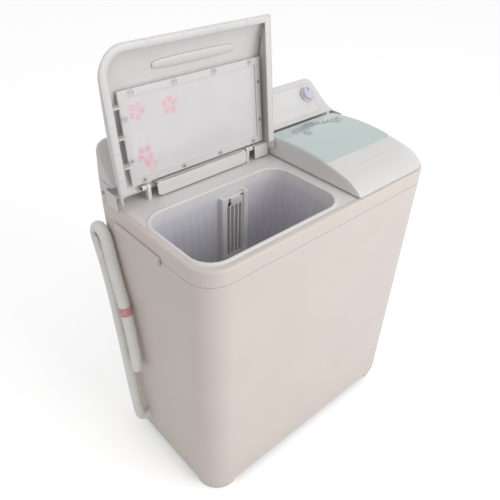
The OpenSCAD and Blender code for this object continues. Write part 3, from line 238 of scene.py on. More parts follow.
def joined(name, meshes):
    """Several meshes as one."""
    bm = bmesh.new()
    for part in meshes:
        bm.from_mesh(part)
    whole = bpy.data.meshes.new(name)
    bm.to_mesh(whole)
    bm.free()
    return whole


def wall(piece, thickness_mm):
    """Gives a skin its thickness, inwards."""
    solid = piece.modifiers.new("wall", "SOLIDIFY")
    solid.thickness = thickness_mm * MM
    solid.offset = -1
    solid.use_even_offset = False
    return piece

# %% Outlines
def rounded_box(x0, x1, y0, y1, r, count=160):
    """A rectangle with round corners, its points spread evenly along it, starting in the middle of its front."""
    w, d = x1 - x0 - 2 * r, y1 - y0 - 2 * r
    arc = math.pi * r / 2
    total = 2 * (w + d) + 4 * arc
    s = np.arange(count) / count * total
    ends = np.cumsum([w / 2, arc, d, arc, w, arc, d, arc, w / 2])
    k = np.searchsorted(ends, s, side="right")
    start = np.concatenate([[0], ends])[k]
    t = s - start
    cx = np.array([x0 + x1, 0, 0, 0, 0, 0, 0, 0, 0]) / 2
    a = t / r
    xr, xl, yf, yb = x1 - r, x0 + r, y0 + r, y1 - r
    px = np.choose(k, [cx[0] + t, xr + r * np.sin(a), x1 + 0 * t, xr + r * np.cos(a), xr - t,
                       xl - r * np.sin(a), x0 + 0 * t, xl - r * np.cos(a), xl + t])
    py = np.choose(k, [y0 + 0 * t, yf - r * np.cos(a), yf + t, yb + r * np.sin(a), y1 + 0 * t,
                       yb + r * np.cos(a), yb - t, yf - r * np.sin(a), y0 + 0 * t])
    return np.stack([px, py], axis=-1)


def rings(levels, count=160):
    """Stacks rounded boxes: each level is its edges, its corner radius and its height."""
    return np.stack([np.concatenate([rounded_box(*level[:5], count), np.full((count, 1), level[5])], axis=1)
                     for level in levels])

# %% [markdown]
# ## The drain hose
# The hose is a corrugated polyethylene tube, 30 mm across. It leaves the machine low on its left side,
# runs up to a hook, folds over it and hangs down to its open end. A cord's line must match the CAD solid,
# so its points are the part's own, smoothed by a spline through them.

# %% Drain hose
hose_points = np.array([
    [-381, 100, 82], [-389, 100, 82], [-396, 102, 85], [-401, 105, 94], [-402, 110, 120],
    [-402, 118, 180], [-402, 126, 260], [-402, 134, 350], [-402, 143, 440], [-402, 153, 530],
    [-402, 167, 610], [-402, 182, 665], [-402, 190, 692], [-402, 192, 708], [-402, 186, 723],
    [-402, 174, 732], [-402, 160, 731], [-402, 149, 723], [-402, 143, 708], [-402, 139, 690],
    [-402, 129, 640], [-402, 115, 580], [-402, 101, 520], [-402, 90, 460], [-402, 82, 390], [-402, 77, 315]], float)
HOSE_D = 30


def spline(points, steps):
    """A Catmull-Rom curve: between two points it is a cubic whose slopes come from their neighbours."""
    p = np.concatenate([[2 * points[0] - points[1]], points, [2 * points[-1] - points[-2]]])
    t = (np.arange(steps) / steps)[None, :, None]
    a, b, c, d = (p[i:len(p) - 3 + i][:, None, :] for i in range(4))
    curve = 0.5 * (2 * b + (c - a) * t + (2 * a - 5 * b + 4 * c - d) * t ** 2 + (3 * b - a - 3 * c + d) * t ** 3)
    return np.concatenate([curve.reshape(-1, 3), points[-1:]])


def even(points, step):
    """The same line with its points a step apart."""
    run = np.concatenate([[0], np.cumsum(np.linalg.norm(np.diff(points, axis=0), axis=1))])
    s = np.linspace(0, run[-1], int(run[-1] / step) + 1)
    return np.stack([np.interp(s, run, points[:, k]) for k in range(3)], axis=-1), s


def tube_grid(line, radius, sides, side):
    """Circles along a line: each stands square to it, with one axis square to the side direction."""
    t = np.gradient(line, axis=0)
    t /= np.linalg.norm(t, axis=1, keepdims=True)
    n = np.cross(t, np.asarray(side, float))
    n /= np.linalg.norm(n, axis=1, keepdims=True)
    b = np.cross(t, n)
    a = np.arange(sides) / sides * 2 * math.pi
    r = np.broadcast_to(np.asarray(radius, float), (len(line),))[:, None, None]
    return line[:, None] + r * (np.cos(a)[None, :, None] * n[:, None] + np.sin(a)[None, :, None] * b[:, None])


hose_line, hose_run = even(spline(hose_points, 12), 1.5)
corrugation = HOSE_D / 2 - 0.45 + 0.45 * np.cos(hose_run / 9.0 * 2 * math.pi)
corrugation[-14:] = HOSE_D / 2 - 0.2
hose_mesh = grid_mesh("drain_hose_tube", tube_grid(hose_line, corrugation, 28, [1, 0.3, 0]), caps=(True, True))
hose = finish_piece("drain_hose_tube", hose_mesh, hose_pe, "machine", ["drain_hose"], 50)
tie_at = np.searchsorted(hose_run, hose_run[-1] * 0.822)
tie_line = hose_line[tie_at - 8:tie_at + 9]
tie_bulge = HOSE_D / 2 + 0.7 + 0.35 * np.sin(np.linspace(0, 5 * math.pi, len(tie_line)))
tie_mesh = grid_mesh("tape_wrap", tube_grid(tie_line, tie_bulge, 28, [1, 0.3, 0]), caps=(True, True))
tie = finish_piece("tape_wrap", tie_mesh, tie_tape, "machine", ["hose_tie"])
print("hose length mm", round(float(hose_run[-1]), 1), "tie at", tie_line[8].round(1))

# %% [markdown]
# ## The cabinet and the top moulding
# The body is a tall tub of polypropylene that narrows a little towards its foot so that it leaves its mould.
# Its corners are wide and its edges are rolled. A fine shadow line shows where the top moulding sits on it.

# %% Cabinet
BODY_W, BODY_D, DECK = 770, 446, 800
CORNER, TAPER, FOOT_H, SKIRT = 70, 10, 22, 758


def body_edges(z, inset=0.0):
    """The body's outline at a height: its sides come in evenly from the deck down."""
    t = TAPER * (DECK - z) / (DECK - FOOT_H) + inset
    return (-BODY_W / 2 + t, BODY_W / 2 - t, -BODY_D / 2 + t, BODY_D / 2 - t, CORNER - inset, z)


roll = np.linspace(0, math.pi / 2, 6)
cabinet_levels = [body_edges(FOOT_H, 14), body_edges(FOOT_H, 8)]
cabinet_levels += [body_edges(FOOT_H + 8 - 8 * math.cos(a), 8 - 8 * math.sin(a)) for a in roll]
cabinet_levels += [body_edges(z) for z in np.linspace(60, SKIRT - 5, 14)]
cabinet_levels += [body_edges(SKIRT - 1.6 + 1.2 * math.sin(a), 1.2 - 1.2 * math.cos(a)) for a in roll]
cabinet_levels += [body_edges(SKIRT - 0.4, 9)]
cabinet_mesh = grid_mesh("cabinet_skin", rings(cabinet_levels, 240))
cabinet = finish_piece("cabinet_skin", cabinet_mesh, body_pp, "machine", ["cabinet"], 60)
print("cabinet rings", len(cabinet_levels))

# %% Skirt and deck edge
skirt_levels = [body_edges(SKIRT + 0.4, 9), body_edges(SKIRT + 0.3, 0.8), body_edges(SKIRT + 1.0, 0.2)]
skirt_levels += [body_edges(z) for z in (SKIRT + 4, SKIRT + 16, DECK - 14)]
skirt_levels += [body_edges(DECK - 7 + 7 * math.sin(a), 7 - 7 * math.cos(a)) for a in roll]
skirt_levels += [body_edges(DECK - 0.2, 12), body_edges(DECK - 0.9, 18)]
skirt_mesh = grid_mesh("deck_edge", rings(skirt_levels, 240))
skirt = finish_piece("deck_edge", skirt_mesh, body_pp, "machine", ["top_frame"], 60)

# %% Deck with its two mouths
WASH_X, WASH_Y, TUB_W, TUB_D, TUB_R, TUB_FLOOR = -153, -76, 414, 236, 55, 345
SPIN_X, SPIN_Y, SPIN_R = 231, -63, 131


def flat_plate(name, outlines, z0, z1):
    """A flat sheet filled between an outer outline and its holes, given a thickness and made a mesh."""
    curve = bpy.data.curves.new(name, "CURVE")
    curve.dimensions = "2D"
    curve.fill_mode = "BOTH"
    curve.extrude = (z1 - z0) / 2 * MM
    for outline in outlines:
        line = curve.splines.new("POLY")
        line.points.add(len(outline) - 1)
        points = np.concatenate([outline * MM, np.zeros((len(outline), 1)), np.ones((len(outline), 1))], axis=1)
        line.points.foreach_set("co", points.ravel())
        line.use_cyclic_u = True
    holder = bpy.data.objects.new(name, curve)
    mesh = bpy.data.meshes.new_from_object(holder)
    bpy.data.objects.remove(holder)
    mesh.transform(Matrix.Translation((0, 0, (z0 + z1) / 2 * MM)))
    return mesh


def circle(x, y, r, count=96):
    a = np.arange(count) / count * 2 * math.pi
    return np.stack([x + r * np.cos(a), y + r * np.sin(a)], axis=-1)


wash_mouth = (WASH_X - TUB_W / 2, WASH_X + TUB_W / 2, WASH_Y - TUB_D / 2, WASH_Y + TUB_D / 2)
deck_outline = rounded_box(-BODY_W / 2 + 16, BODY_W / 2 - 16, -BODY_D / 2 + 16, BODY_D / 2 - 16, CORNER - 16, 200)
plate_mesh = flat_plate("deck_plate", [deck_outline,
                                       rounded_box(wash_mouth[0] - 4, wash_mouth[1] + 4, wash_mouth[2] - 4,
                                                   wash_mouth[3] + 4, TUB_R + 4, 160),
                                       circle(SPIN_X, SPIN_Y, SPIN_R - 6)], DECK - 3.5, DECK - 0.8)
deck = finish_piece("deck_plate", plate_mesh, frame_abs, "machine", ["top_frame"])


def mouth_rim(name, edges, r, lip, drop):
    """A bead round a mouth: it rises from the deck, rolls over its edge and hangs down inside."""
    x0, x1, y0, y1 = edges
    turn = np.linspace(0, math.pi, 9)
    half = lip / 2
    levels = [(x0 - lip - 1, x1 + lip + 1, y0 - lip - 1, y1 + lip + 1, r + lip + 1, DECK - 1.2)]
    levels += [(x0 - half - half * math.cos(a), x1 + half + half * math.cos(a), y0 - half - half * math.cos(a),
                y1 + half + half * math.cos(a), r + half + half * math.cos(a), DECK - 0.8 + 2.4 * math.sin(a))
               for a in turn]
    levels += [(x0 + k, x1 - k, y0 + k, y1 - k, r - k, DECK - z) for k, z in ((0.3, 4), (0.8, drop * 0.6), (1.2, drop))]
    levels += [(x0 - 0.6, x1 + 0.6, y0 - 0.6, y1 + 0.6, r + 0.6, DECK - drop)]
    mesh = grid_mesh(name, rings(levels, 200))
    return finish_piece(name, mesh, frame_abs, "machine", ["top_frame"], 60)


mouth_rim("wash_mouth_rim", wash_mouth, TUB_R, 9, 24)
spin_edges = (SPIN_X - SPIN_R + 8, SPIN_X + SPIN_R - 8, SPIN_Y - SPIN_R + 8, SPIN_Y + SPIN_R - 8)
mouth_rim("spin_mouth_rim", spin_edges, SPIN_R - 8.01, 6, 18)
print("deck plate faces", len(plate_mesh.polygons))

# %% [markdown]
# ## Edges of simpler parts
# A small part whose CAD shape is right only lacks the tiny radius that every moulded edge has. A copy of
# its mesh is welded, its flat areas are cleaned, and a Bevel rounds the sharp edges. The light then catches
# them as it does on the real part.

# %% Softened copies
def softened(node_name, width_mm, material, limit=40, segments=2):
    """A copy of a CAD node with its sharp edges rounded."""
    mesh = frame["nodes"][node_name].data.copy()
    bm = bmesh.new()
    bm.from_mesh(mesh)
    bmesh.ops.remove_doubles(bm, verts=bm.verts, dist=2e-6)
    bmesh.ops.dissolve_limit(bm, angle_limit=math.radians(0.5), verts=bm.verts, edges=bm.edges)
    bm.to_mesh(mesh)
    bm.free()
    piece = finish_piece(node_name + "_soft", mesh, material, body_of_node[node_name],
                         [node_name])
    edge = piece.modifiers.new("edge", "BEVEL")
    edge.width = width_mm * MM
    edge.segments = segments
    edge.limit_method = "ANGLE"
    edge.angle_limit = math.radians(limit)
    edge.harden_normals = False
    return piece


for name, width, material in (("feet", 2.0, body_pp), ("grips", 1.0, body_pp), ("filter_housing", 1.0, inner_pp),
                              ("lint_filter", 0.6, inner_pp), ("pulsator", 0.8, inner_pp)):
    softened(name, width, material)

# %% [markdown]
# ## The fluted wash tub
# The tub is one polypropylene moulding. Its walls carry upright flutes, which stiffen them and rub the
# laundry. The wall is a stack of rounded boxes, and a cosine of the distance along it makes the flutes.

# %% Wash tub
def fluted(grid, pitch, depth, low, high):
    """Moves each point inwards, square to its wall, by a squared cosine of its run; it fades at both ends."""
    step = np.linalg.norm(np.diff(grid[0], axis=0, append=grid[0][:1]), axis=1)
    run = np.concatenate([[0], np.cumsum(step)[:-1]])
    count = round(step.sum() / pitch)
    wave = (0.5 + 0.5 * np.cos(run / step.sum() * count * 2 * math.pi)) ** 2
    z = grid[..., 2]
    fade = np.clip((z - low) / 30, 0, 1) * np.clip((high - z) / 14, 0, 1)
    x0, x1, y0, y1 = wash_mouth
    core = np.stack([np.clip(grid[..., 0], x0 + TUB_R, x1 - TUB_R), np.clip(grid[..., 1], y0 + TUB_R, y1 - TUB_R)], -1)
    out = grid[..., :2] - core
    out /= np.maximum(np.linalg.norm(out, axis=-1, keepdims=True), 1e-6)
    grid = grid.copy()
    grid[..., :2] -= out * (depth * wave[None] * fade)[..., None]
    return grid


def inset(edges, k, r):
    return (edges[0] + k, edges[1] - k, edges[2] + k, edges[3] - k, r - k)


cove = np.linspace(0, math.pi / 2, 8)
tub_levels = [(*inset(wash_mouth, -6, TUB_R), 776), (*inset(wash_mouth, -0.8, TUB_R), 775.5)]
tub_levels += [(*inset(wash_mouth, -0.3, TUB_R), z) for z in np.linspace(772, TUB_FLOOR + 26, 34)]
tub_levels += [(*inset(wash_mouth, 25 - 25 * math.cos(a), TUB_R), TUB_FLOOR + 25 - 25 * math.sin(a)) for a in cove]
tub_levels += [(*inset(wash_mouth, k, TUB_R), TUB_FLOOR) for k in (36, 50)]
tub_grid = fluted(rings(tub_levels, 520), 24, 2.6, TUB_FLOOR + 40, 742)
tub_mesh = grid_mesh("fluted_tub", tub_grid, caps=(False, True))
tub = wall(finish_piece("fluted_tub", tub_mesh, tub_pp, "machine", ["wash_tub"], 50), 2.4)
tub.modifiers["wall"].offset = 1
print("tub faces", len(tub_mesh.polygons))

# %% [markdown]
# ## The lids
# Both lids share one side view: a long shallow crown that rolls over at the front and at the outer end. A
# lid is worked out shut: its edge path is a U that is open at the hinge, and it climbs inwards along a
# quarter turn of the roll, then runs on over the crown. The wash lid is then stood up about its hinge.

# %% Lid surface
HINGE_Y, HINGE_Z, LID_Z, CROWN_R, CROWN_CZ = 108, 832, 802, 650, 205
LID_FRONT, LID_BACK = -218, 120
WASH_LID, SPIN_LID = (-380, 83), (87, 380)
stand_up = (Matrix.Translation((0, HINGE_Y * MM, HINGE_Z * MM)) @ Matrix.Rotation(math.radians(-96), 4, "X")
            @ Matrix.Translation((0, -HINGE_Y * MM, -HINGE_Z * MM)))


def crown(y):
    """The crown's height: a circle of 650 mm seen from the side."""
    return CROWN_CZ + np.sqrt(CROWN_R ** 2 - np.asarray(y, float) ** 2)


def u_path(x0, x1, y0, y1, r0, r1, count=40):
    """A U from the back left, round the front, to the back right, with a corner radius on each side."""
    side = np.linspace(0, 1, count)
    turn = side[1:] * math.pi / 2
    left = np.stack([np.full(count, x0), y1 + (y0 + r0 - y1) * side], -1)
    arc0 = np.stack([x0 + r0 - r0 * np.cos(turn), y0 + r0 - r0 * np.sin(turn)], -1)
    front = np.stack([x0 + r0 + (x1 - r1 - x0 - r0) * side[1:], np.full(count - 1, y0)], -1)
    arc1 = np.stack([x1 - r1 + r1 * np.sin(turn), y0 + r1 - r1 * np.cos(turn)], -1)
    right = np.stack([np.full(count - 1, x1), y0 + r1 + (y1 - y0 - r1) * side[1:]], -1)
    return np.concatenate([left, arc0, front, arc1, right])


def lid_grid(x0, x1, roll0, roll1, r0, r1):
    """Rows climb a quarter turn: they come in by roll(1 - cos) and rise by sin; then they shrink to the back."""
    rows = []
    for a in np.linspace(0, math.pi / 2, 14):
        k = 1 - math.cos(a)
        path = u_path(x0 + roll0 * k, x1 - roll1 * k, LID_FRONT + 48 * k, LID_BACK,
                      max(r0 - 22 * k, 3), max(r1 - 22 * k, 3))
        rows.append(np.column_stack([path, LID_Z + (crown(path[:, 1]) - LID_Z) * math.sin(a)]))
    last, pole = rows[-1][:, :2], np.array([(x0 + x1) / 2, LID_BACK])
    for s in np.linspace(0, 1, 26)[1:]:
        path = last + (pole - last) * s
        rows.append(np.column_stack([path, crown(path[:, 1])]))
    return np.stack(rows)


def rim_flange(name, x0, x1, r0, r1, width):
    """The flange round a lid's open edge: a flat rounded section carried along the U."""
    section = [(0.4, 806), (0, 803.4), (1.2, 802), (width - 1.2, 802), (width, 803.2), (width - 1, 804.8), (3.2, 805.2)]
    rows = [np.column_stack([u_path(x0 + k, x1 - k, LID_FRONT + k, LID_BACK - 26, max(r0 - k, 2), max(r1 - k, 2)),
                             np.full(196, z)]) for k, z in section]
    return grid_mesh(name, np.stack(rows).transpose(1, 0, 2), round_u=True, caps=(True, True))


def ridge(name, x0, x1, y, half, height, base):
    """A long rounded ridge: its section is half an ellipse, and its ends close in quarter turns."""
    u, v = np.meshgrid(np.linspace(0, math.pi, 13), np.linspace(0, math.pi, 40), indexing="ij")
    swell = np.sqrt(np.clip(np.sin(v), 0, 1)) ** 0.7
    x = (x0 + x1) / 2 - (x1 - x0) / 2 * np.cos(v)
    yy = y - half * np.cos(u) * swell
    z = base(yy) + height * np.sin(u) * swell
    return grid_mesh(name, np.stack([x, yy, z], -1), round_u=False)

# %% Rounded blocks
def block(name, x0, x1, y0, y1, z0, z1, r=0.8, corner=2.0):
    """A small moulded block: rounded boxes stacked so that every edge has its radius."""
    ends = [(r, z0), (0.3 * r, z0 + 0.3 * r), (0, z0 + r), (0, z1 - r), (0.3 * r, z1 - 0.3 * r), (r, z1)]
    corner = min(corner, (x1 - x0) / 2 - 0.01, (y1 - y0) / 2 - 0.01)
    return grid_mesh(name, rings([(x0 + k, x1 - k, y0 + k, y1 - k, max(corner - k, 0.05), z) for k, z in ends], 48),
                     caps=(True, True))


def rod_x(name, x0, x1, y, z, r):
    """A short round bar along X with softened ends."""
    a = np.arange(32) / 32 * 2 * math.pi
    rows = [np.column_stack([np.full(32, x), y + rr * np.cos(a), z + rr * np.sin(a)])
            for x, rr in ((x0, r - 0.6), (x0 + 0.6, r), (x1 - 0.6, r), (x1, r - 0.6))]
    return grid_mesh(name, np.stack(rows), caps=(True, True))

# %% Wash lid, standing open
wash_skin = grid_mesh("wash_lid_skin", lid_grid(*WASH_LID, 38, 4, 65, 5), round_u=False)
wash_skin.transform(stand_up)
wall(finish_piece("wash_lid_skin", wash_skin, lid_abs, "wash_lid_body", ["wash_lid"], 50), 2.4)
flange = rim_flange("wash_lid_flange", *WASH_LID, 65, 5, 18)
flange.transform(stand_up)
finish_piece("wash_lid_flange", flange, lid_abs, "wash_lid_body", ["wash_lid"], 50)

WIN = (-318, 53, -104, 82)
WIN_Z = float(crown(-119)) - 5.5
inner_parts = [ridge("groove", -240, -10, -155, 12, -5, lambda y: crown(y) - 3.2)]
inner_parts += [block("rib", -361, -334, y, y + 3, 812, 838, 0.6) for y in (-92, -26, 40)]
inner_parts += [block("seat", x0, x1, y0, y1, WIN_Z + 0.2, 842.5, 0.5)
                for x0, x1, y0, y1 in ((-331, 66, -117, -106), (-331, 66, 84, 95), (-331, -320, -106, 84), (55, 66, -106, 84))]
inner_parts += [block("strip", x0, x1, HINGE_Y - 6, HINGE_Y + 30, HINGE_Z - 9, HINGE_Z - 6.5, 0.6)
                for x0, x1 in ((-274, 2), (32, 79))]
inner_parts += [block("web", x0, x1, HINGE_Y - 6, HINGE_Y - 3.5, HINGE_Z - 9, 842, 0.6) for x0, x1 in ((-274, 2), (32, 79))]
for x0 in (-313, 17):
    inner_parts.append(rod_x("knuckle", x0, x0 + 12, HINGE_Y, HINGE_Z, 6.5))
    inner_parts.append(block("knuckle_web", x0, x0 + 12, HINGE_Y - 6, HINGE_Y + 5, HINGE_Z + 1, 843, 0.6))

clips = [block("clip", x, x + 11, LID_FRONT + 1.5, LID_FRONT + 15.5, 801.4, 803.6, 0.5) for x in (-262, -172, -82, 8)]
clips += [block("clip", -378.5, -364.5, y, y + 11, 801.4, 803.6, 0.5) for y in (-70, -10, 50)]


def screw_cup(x, y, z):
    """A cup in which a screw sits: a turned outline of a raised ring round a sunken seat."""
    a = np.arange(28) / 28 * 2 * math.pi
    section = ((7.6, 0.1), (7.4, -1.3), (6.9, -1.7), (6.2, -1.5), (5.8, 0.3), (0.1, 0.3))
    rows = [np.column_stack([x + r * np.cos(a), y + r * np.sin(a), np.full(28, z + h)]) for r, h in section]
    return grid_mesh("cup", np.stack(rows))


screw_x = np.linspace(-300, 35, 4).tolist()
cups = [screw_cup(x, y, WIN_Z - 7) for x in screw_x for y in (-111.5, 89.5)]
cups += [screw_cup(x, y, WIN_Z - 7) for x in (-325.5, 60.5) for y in (-59, 37)]
# The clips and screw cups share the darker grey tub plastic; on the cups this grey is painted shade for the sunken seat
# round each screw.
clips_and_painted_shade_cups = joined("wash_lid_clips_and_shaded_cups", clips + cups)
clips_and_painted_shade_cups.transform(stand_up)
finish_piece("wash_lid_clips_and_shaded_cups", clips_and_painted_shade_cups, tub_pp, "wash_lid_body")
inner = joined("wash_lid_inner", inner_parts)
inner.transform(stand_up)
finish_piece("wash_lid_inner", inner, lid_abs, "wash_lid_body", ["wash_lid"], 40)
softened("wash_lid_frame", 0.9, lid_abs, segments=2)
print("wash lid pieces", len(inner_parts))

# %% [markdown]
# ## The window's print
# The window is a clear sheet with a few pale pink blossoms printed on it. A petal is a leaf-shaped patch: its
# half width is a sine along its length. Five of them round a centre make a blossom.

# %% Blossoms
def leaf(x, y, angle, length, half, height, fullness=0.75, steps=(9, 5)):
    """A leaf-shaped patch on a height function: its half width is a sine of the length to a power."""
    v, u = np.meshgrid(np.linspace(0, 1, steps[0]), np.linspace(-1, 1, steps[1]), indexing="ij")
    along, across = length * v, half * u * np.sin(math.pi * v ** fullness)
    px = x + along * math.cos(angle) - across * math.sin(angle)
    py = y + along * math.sin(angle) + across * math.cos(angle)
    return grid_mesh("leaf", np.stack([px, py, height(px, py)], -1), round_u=False)


def blossom(x, y, size, turn, height):
    """Five petals round a small open centre."""
    angles = turn + np.arange(5) / 5 * 2 * math.pi
    return [leaf(x + 0.14 * size * math.cos(a), y + 0.14 * size * math.sin(a), a, size, size * 0.36, height, 1.5)
            for a in angles.tolist()]


under = lambda x, y: WIN_Z - 3.15 + 0 * x
petals = joined("window_petals", blossom(-286, 34, 21, 0.3, under) + blossom(-272, 62, 14, 0.9, under)
                + blossom(-292, -68, 19, 0.1, under) + blossom(-205, -62, 21, 1.0, under))
petals.transform(stand_up)
finish_piece("window_petals", petals, petal_ink, "wash_lid_body")

# %% Spin lid and its glass
spin_skin = grid_mesh("spin_lid_skin", lid_grid(*SPIN_LID, 4, 38, 5, 65), round_u=False)
wall(finish_piece("spin_lid_skin", spin_skin, lid_abs, "spin_lid_body", ["spin_lid"], 50), 2.4)
spin_parts = [rim_flange("flange", *SPIN_LID, 5, 65, 10), ridge("groove", 154, 299, -148, 4.5, 1.6, lambda y: crown(y) - 0.6)]
for x0 in (111, 337):
    spin_parts.append(rod_x("knuckle", x0, x0 + 12, HINGE_Y, HINGE_Z, 6.5))
    spin_parts.append(block("knuckle_web", x0, x0 + 12, HINGE_Y - 6, HINGE_Y + 5, HINGE_Z + 1, 843, 0.6))
finish_piece("spin_lid_inner", joined("spin_lid_inner", spin_parts), lid_abs, "spin_lid_body", ["spin_lid"], 50)
GLASS = (92, 352, -100, 117)
pane_levels = [(0, 0.1), (0, 0.8), (0.4, 1.2)] + [(k, 1.25) for k in (1.2, 5, 11, 13.9)]
pane = [np.column_stack([rounded_box(*inset(GLASS, k, 14)), np.zeros(160)]) for k, _ in pane_levels]
pane = np.stack(pane)
pane[..., 2] = crown(pane[..., 1]) + np.array([z for _, z in pane_levels])[:, None]
centre_y = np.linspace(1, 0, 12)[1:, None, None]
middle = np.array([(GLASS[0] + GLASS[1]) / 2, (GLASS[2] + GLASS[3]) / 2])
inner_rings = middle + (pane[-1:, :, :2] - middle) * centre_y
pane = np.concatenate([pane, np.concatenate([inner_rings, (crown(inner_rings[..., 1]) + 1.25)[..., None]], -1)])
finish_piece("glass_pane", grid_mesh("glass_pane", pane), green_glass, "spin_lid_body", ["spin_lid_glass"], 40)

# %% Leaves printed on the glass
on_glass = lambda x, y: crown(y) + 1.4
rng = np.random.default_rng(7)
stem_x = np.linspace(150, 320, 14)
stem_y = 74 + 12 * np.sin((stem_x - 150) / 34)
sprig = []
for x, y, spin in zip(stem_x.tolist(), stem_y.tolist(), rng.uniform(-0.35, 0.35, 14).tolist()):
    sprig += [leaf(x, y, 0.9 + spin, 21, 4.2, on_glass), leaf(x, y, -1.0 + spin, 17, 3.6, on_glass)]
for x0, x1, y0, y1 in zip(stem_x[:-1].tolist(), stem_x[1:].tolist(), stem_y[:-1].tolist(), stem_y[1:].tolist()):
    sprig.append(leaf(x0, y0, math.atan2(y1 - y0, x1 - x0), math.hypot(x1 - x0, y1 - y0) + 3, 1.0, on_glass, 1.0))
sprig += blossom(176, 44, 13, 0.2, on_glass) + blossom(236, 92, 15, 0.7, on_glass) + blossom(300, 52, 12, 0.4, on_glass)
finish_piece("glass_leaves", joined("glass_leaves", sprig), leaf_ink, "spin_lid_body")
print("printed leaves", len(sprig))

# %% [markdown]
# ## The console
# The console is a hollow ABS moulding: a side view carried along X. Its corners are rounded by averaging the
# outline over a few millimetres, and its two ends lean in, round over and close.

# %% Console
LIP_Y, LIP_Z, END_Y, END_Z, SAG = 129.0, float(crown(129)) + 3, 213.0, 921.0, 7.0
span, slope = math.hypot(END_Y - LIP_Y, END_Z - LIP_Z), math.atan2(END_Z - LIP_Z, END_Y - LIP_Y)
arc_r = span * span / (8 * SAG) + SAG / 2
arc_half = math.asin(span / 2 / arc_r)
arc_y = (LIP_Y + END_Y) / 2 - (arc_r - SAG) * math.sin(slope)
arc_z = (LIP_Z + END_Z) / 2 + (arc_r - SAG) * math.cos(slope)


def panel_point(t, depth=0.0):
    """A point of the hollow panel's arc, from -1 at the lip to 1 at the top, a depth behind its face."""
    a = slope + np.asarray(t, float) * arc_half
    return arc_y + (arc_r + depth) * np.sin(a), arc_z - (arc_r + depth) * np.cos(a)


def console_end(y, z):
    """Half the console's length at a point of its side view: it leans in, and rounds at its top and back."""
    lean = 384.5 - 24 * (z - 800) / 126
    tilt, r, zc = math.atan2(24, 126), 34, 892
    cx = 384.5 - 24 * (zc - 800) / 126 - r / math.cos(tilt)
    top = cx + np.sqrt(np.clip(r * r - (z - zc) ** 2, 0, None))
    corner = 315 + np.sqrt(70 ** 2 - np.clip(y - 153, 0, 69.9) ** 2) - 0.3
    return np.minimum(np.where(z > zc + r * math.sin(tilt), top, lean), corner)


arc = np.stack(panel_point(np.linspace(-1, 1, 24)), -1)
outline = np.concatenate([[[148, 800.3], [148, LIP_Z - 9], [LIP_Y + 4, LIP_Z - 4]], arc, [[219, 925.6], [222.6, 917], [222.6, 800.3]]])
outline, _ = even(np.concatenate([np.column_stack([outline, np.zeros(len(outline))]), [[148, 800.3, 0]]]), 1.6)
outline = outline[:-1, :2]
for _ in range(3):
    outline = (np.roll(outline, 1, axis=0) + outline + np.roll(outline, -1, axis=0)) / 3
tangent = np.roll(outline, -1, axis=0) - np.roll(outline, 1, axis=0)
inward = np.stack([tangent[:, 1], -tangent[:, 0]], -1) / np.linalg.norm(tangent, axis=1, keepdims=True)
if np.sum(inward * (outline.mean(axis=0) - outline)) < 0:
    inward = -inward
mid = outline.mean(axis=0)
end_rows = []
for a in np.linspace(0, math.pi / 2, 7):
    yz = outline + inward * 6 * (1 - math.cos(a))
    end_rows.append(np.column_stack([console_end(*outline.T) - 6 + 6 * math.sin(a), yz]))
for s in (0.7, 0.4, 0.0):
    yz = mid + (end_rows[6][:, 1:] - mid) * s
    end_rows.append(np.column_stack([console_end(*yz.T), yz]))
end_rows = np.stack(end_rows)
other = end_rows[::-1] * np.array([-1, 1, 1])
console_mesh = grid_mesh("console_skin", np.concatenate([other, end_rows]))
finish_piece("console_skin", console_mesh, console_abs, "machine", ["console_shell"], 40)

# %% Control panel
tt, xx = np.meshgrid(np.linspace(-0.78, 0.82, 20), np.linspace(-335, 335, 60), indexing="ij")
py, pz = panel_point(tt, -0.7)
panel_mesh = grid_mesh("panel_face", np.stack([xx, py, pz], -1), round_u=False)
wall(finish_piece("panel_face", panel_mesh, panel_film, "machine", ["console_panel"]), 1.2)
cheeks = joined("deck_cheeks", [block("cheek", x, x + 3, 100, 150, 800, 840, 0.8) for x in (-384.7, 381.7)])
finish_piece("deck_cheeks", cheeks, console_abs, "machine", ["console_shell"])

# %% Hinge ears
ears = [block("ear", x, x + 10, 101.5, 114.5, 799, 834, 0.8, 1.5) for x in (-300, 6, 124, 326)]
ears += [rod_x("ear_top", x, x + 10, HINGE_Y, HINGE_Z, 6.5) for x in (-300, 6, 124, 326)]
ears += [block("post", SPIN_X + s * 63 - 2.4, SPIN_X + s * 63 + 2.4, 65, 75, 799, 809, 0.6) for s in (-1, 1)]
finish_piece("hinge_ears", joined("hinge_ears", ears), frame_abs, "machine", ["top_frame"])
print("console points", console_mesh.vertices[0].co[:])

# %% [markdown]
# ## Knobs and dials
# A knob is turned in a lathe's way: its outline goes round its axis, and small flutes give the fingers a
# hold. Each dial round it has ticks and plain numbers.

# %% Knobs
KNOB_T, KNOBS = 0.25, {"wash_timer_knob": -260, "drain_knob": 60, "spin_timer_knob": 314}
knob_tilt = slope + KNOB_T * arc_half


def at_knob(x):
    """The place of a knob: on the panel, with its axis square to it."""
    y, z = panel_point(KNOB_T)
    return Matrix.Translation((x * MM, float(y) * MM, float(z) * MM)) @ Matrix.Rotation(knob_tilt, 4, "X")


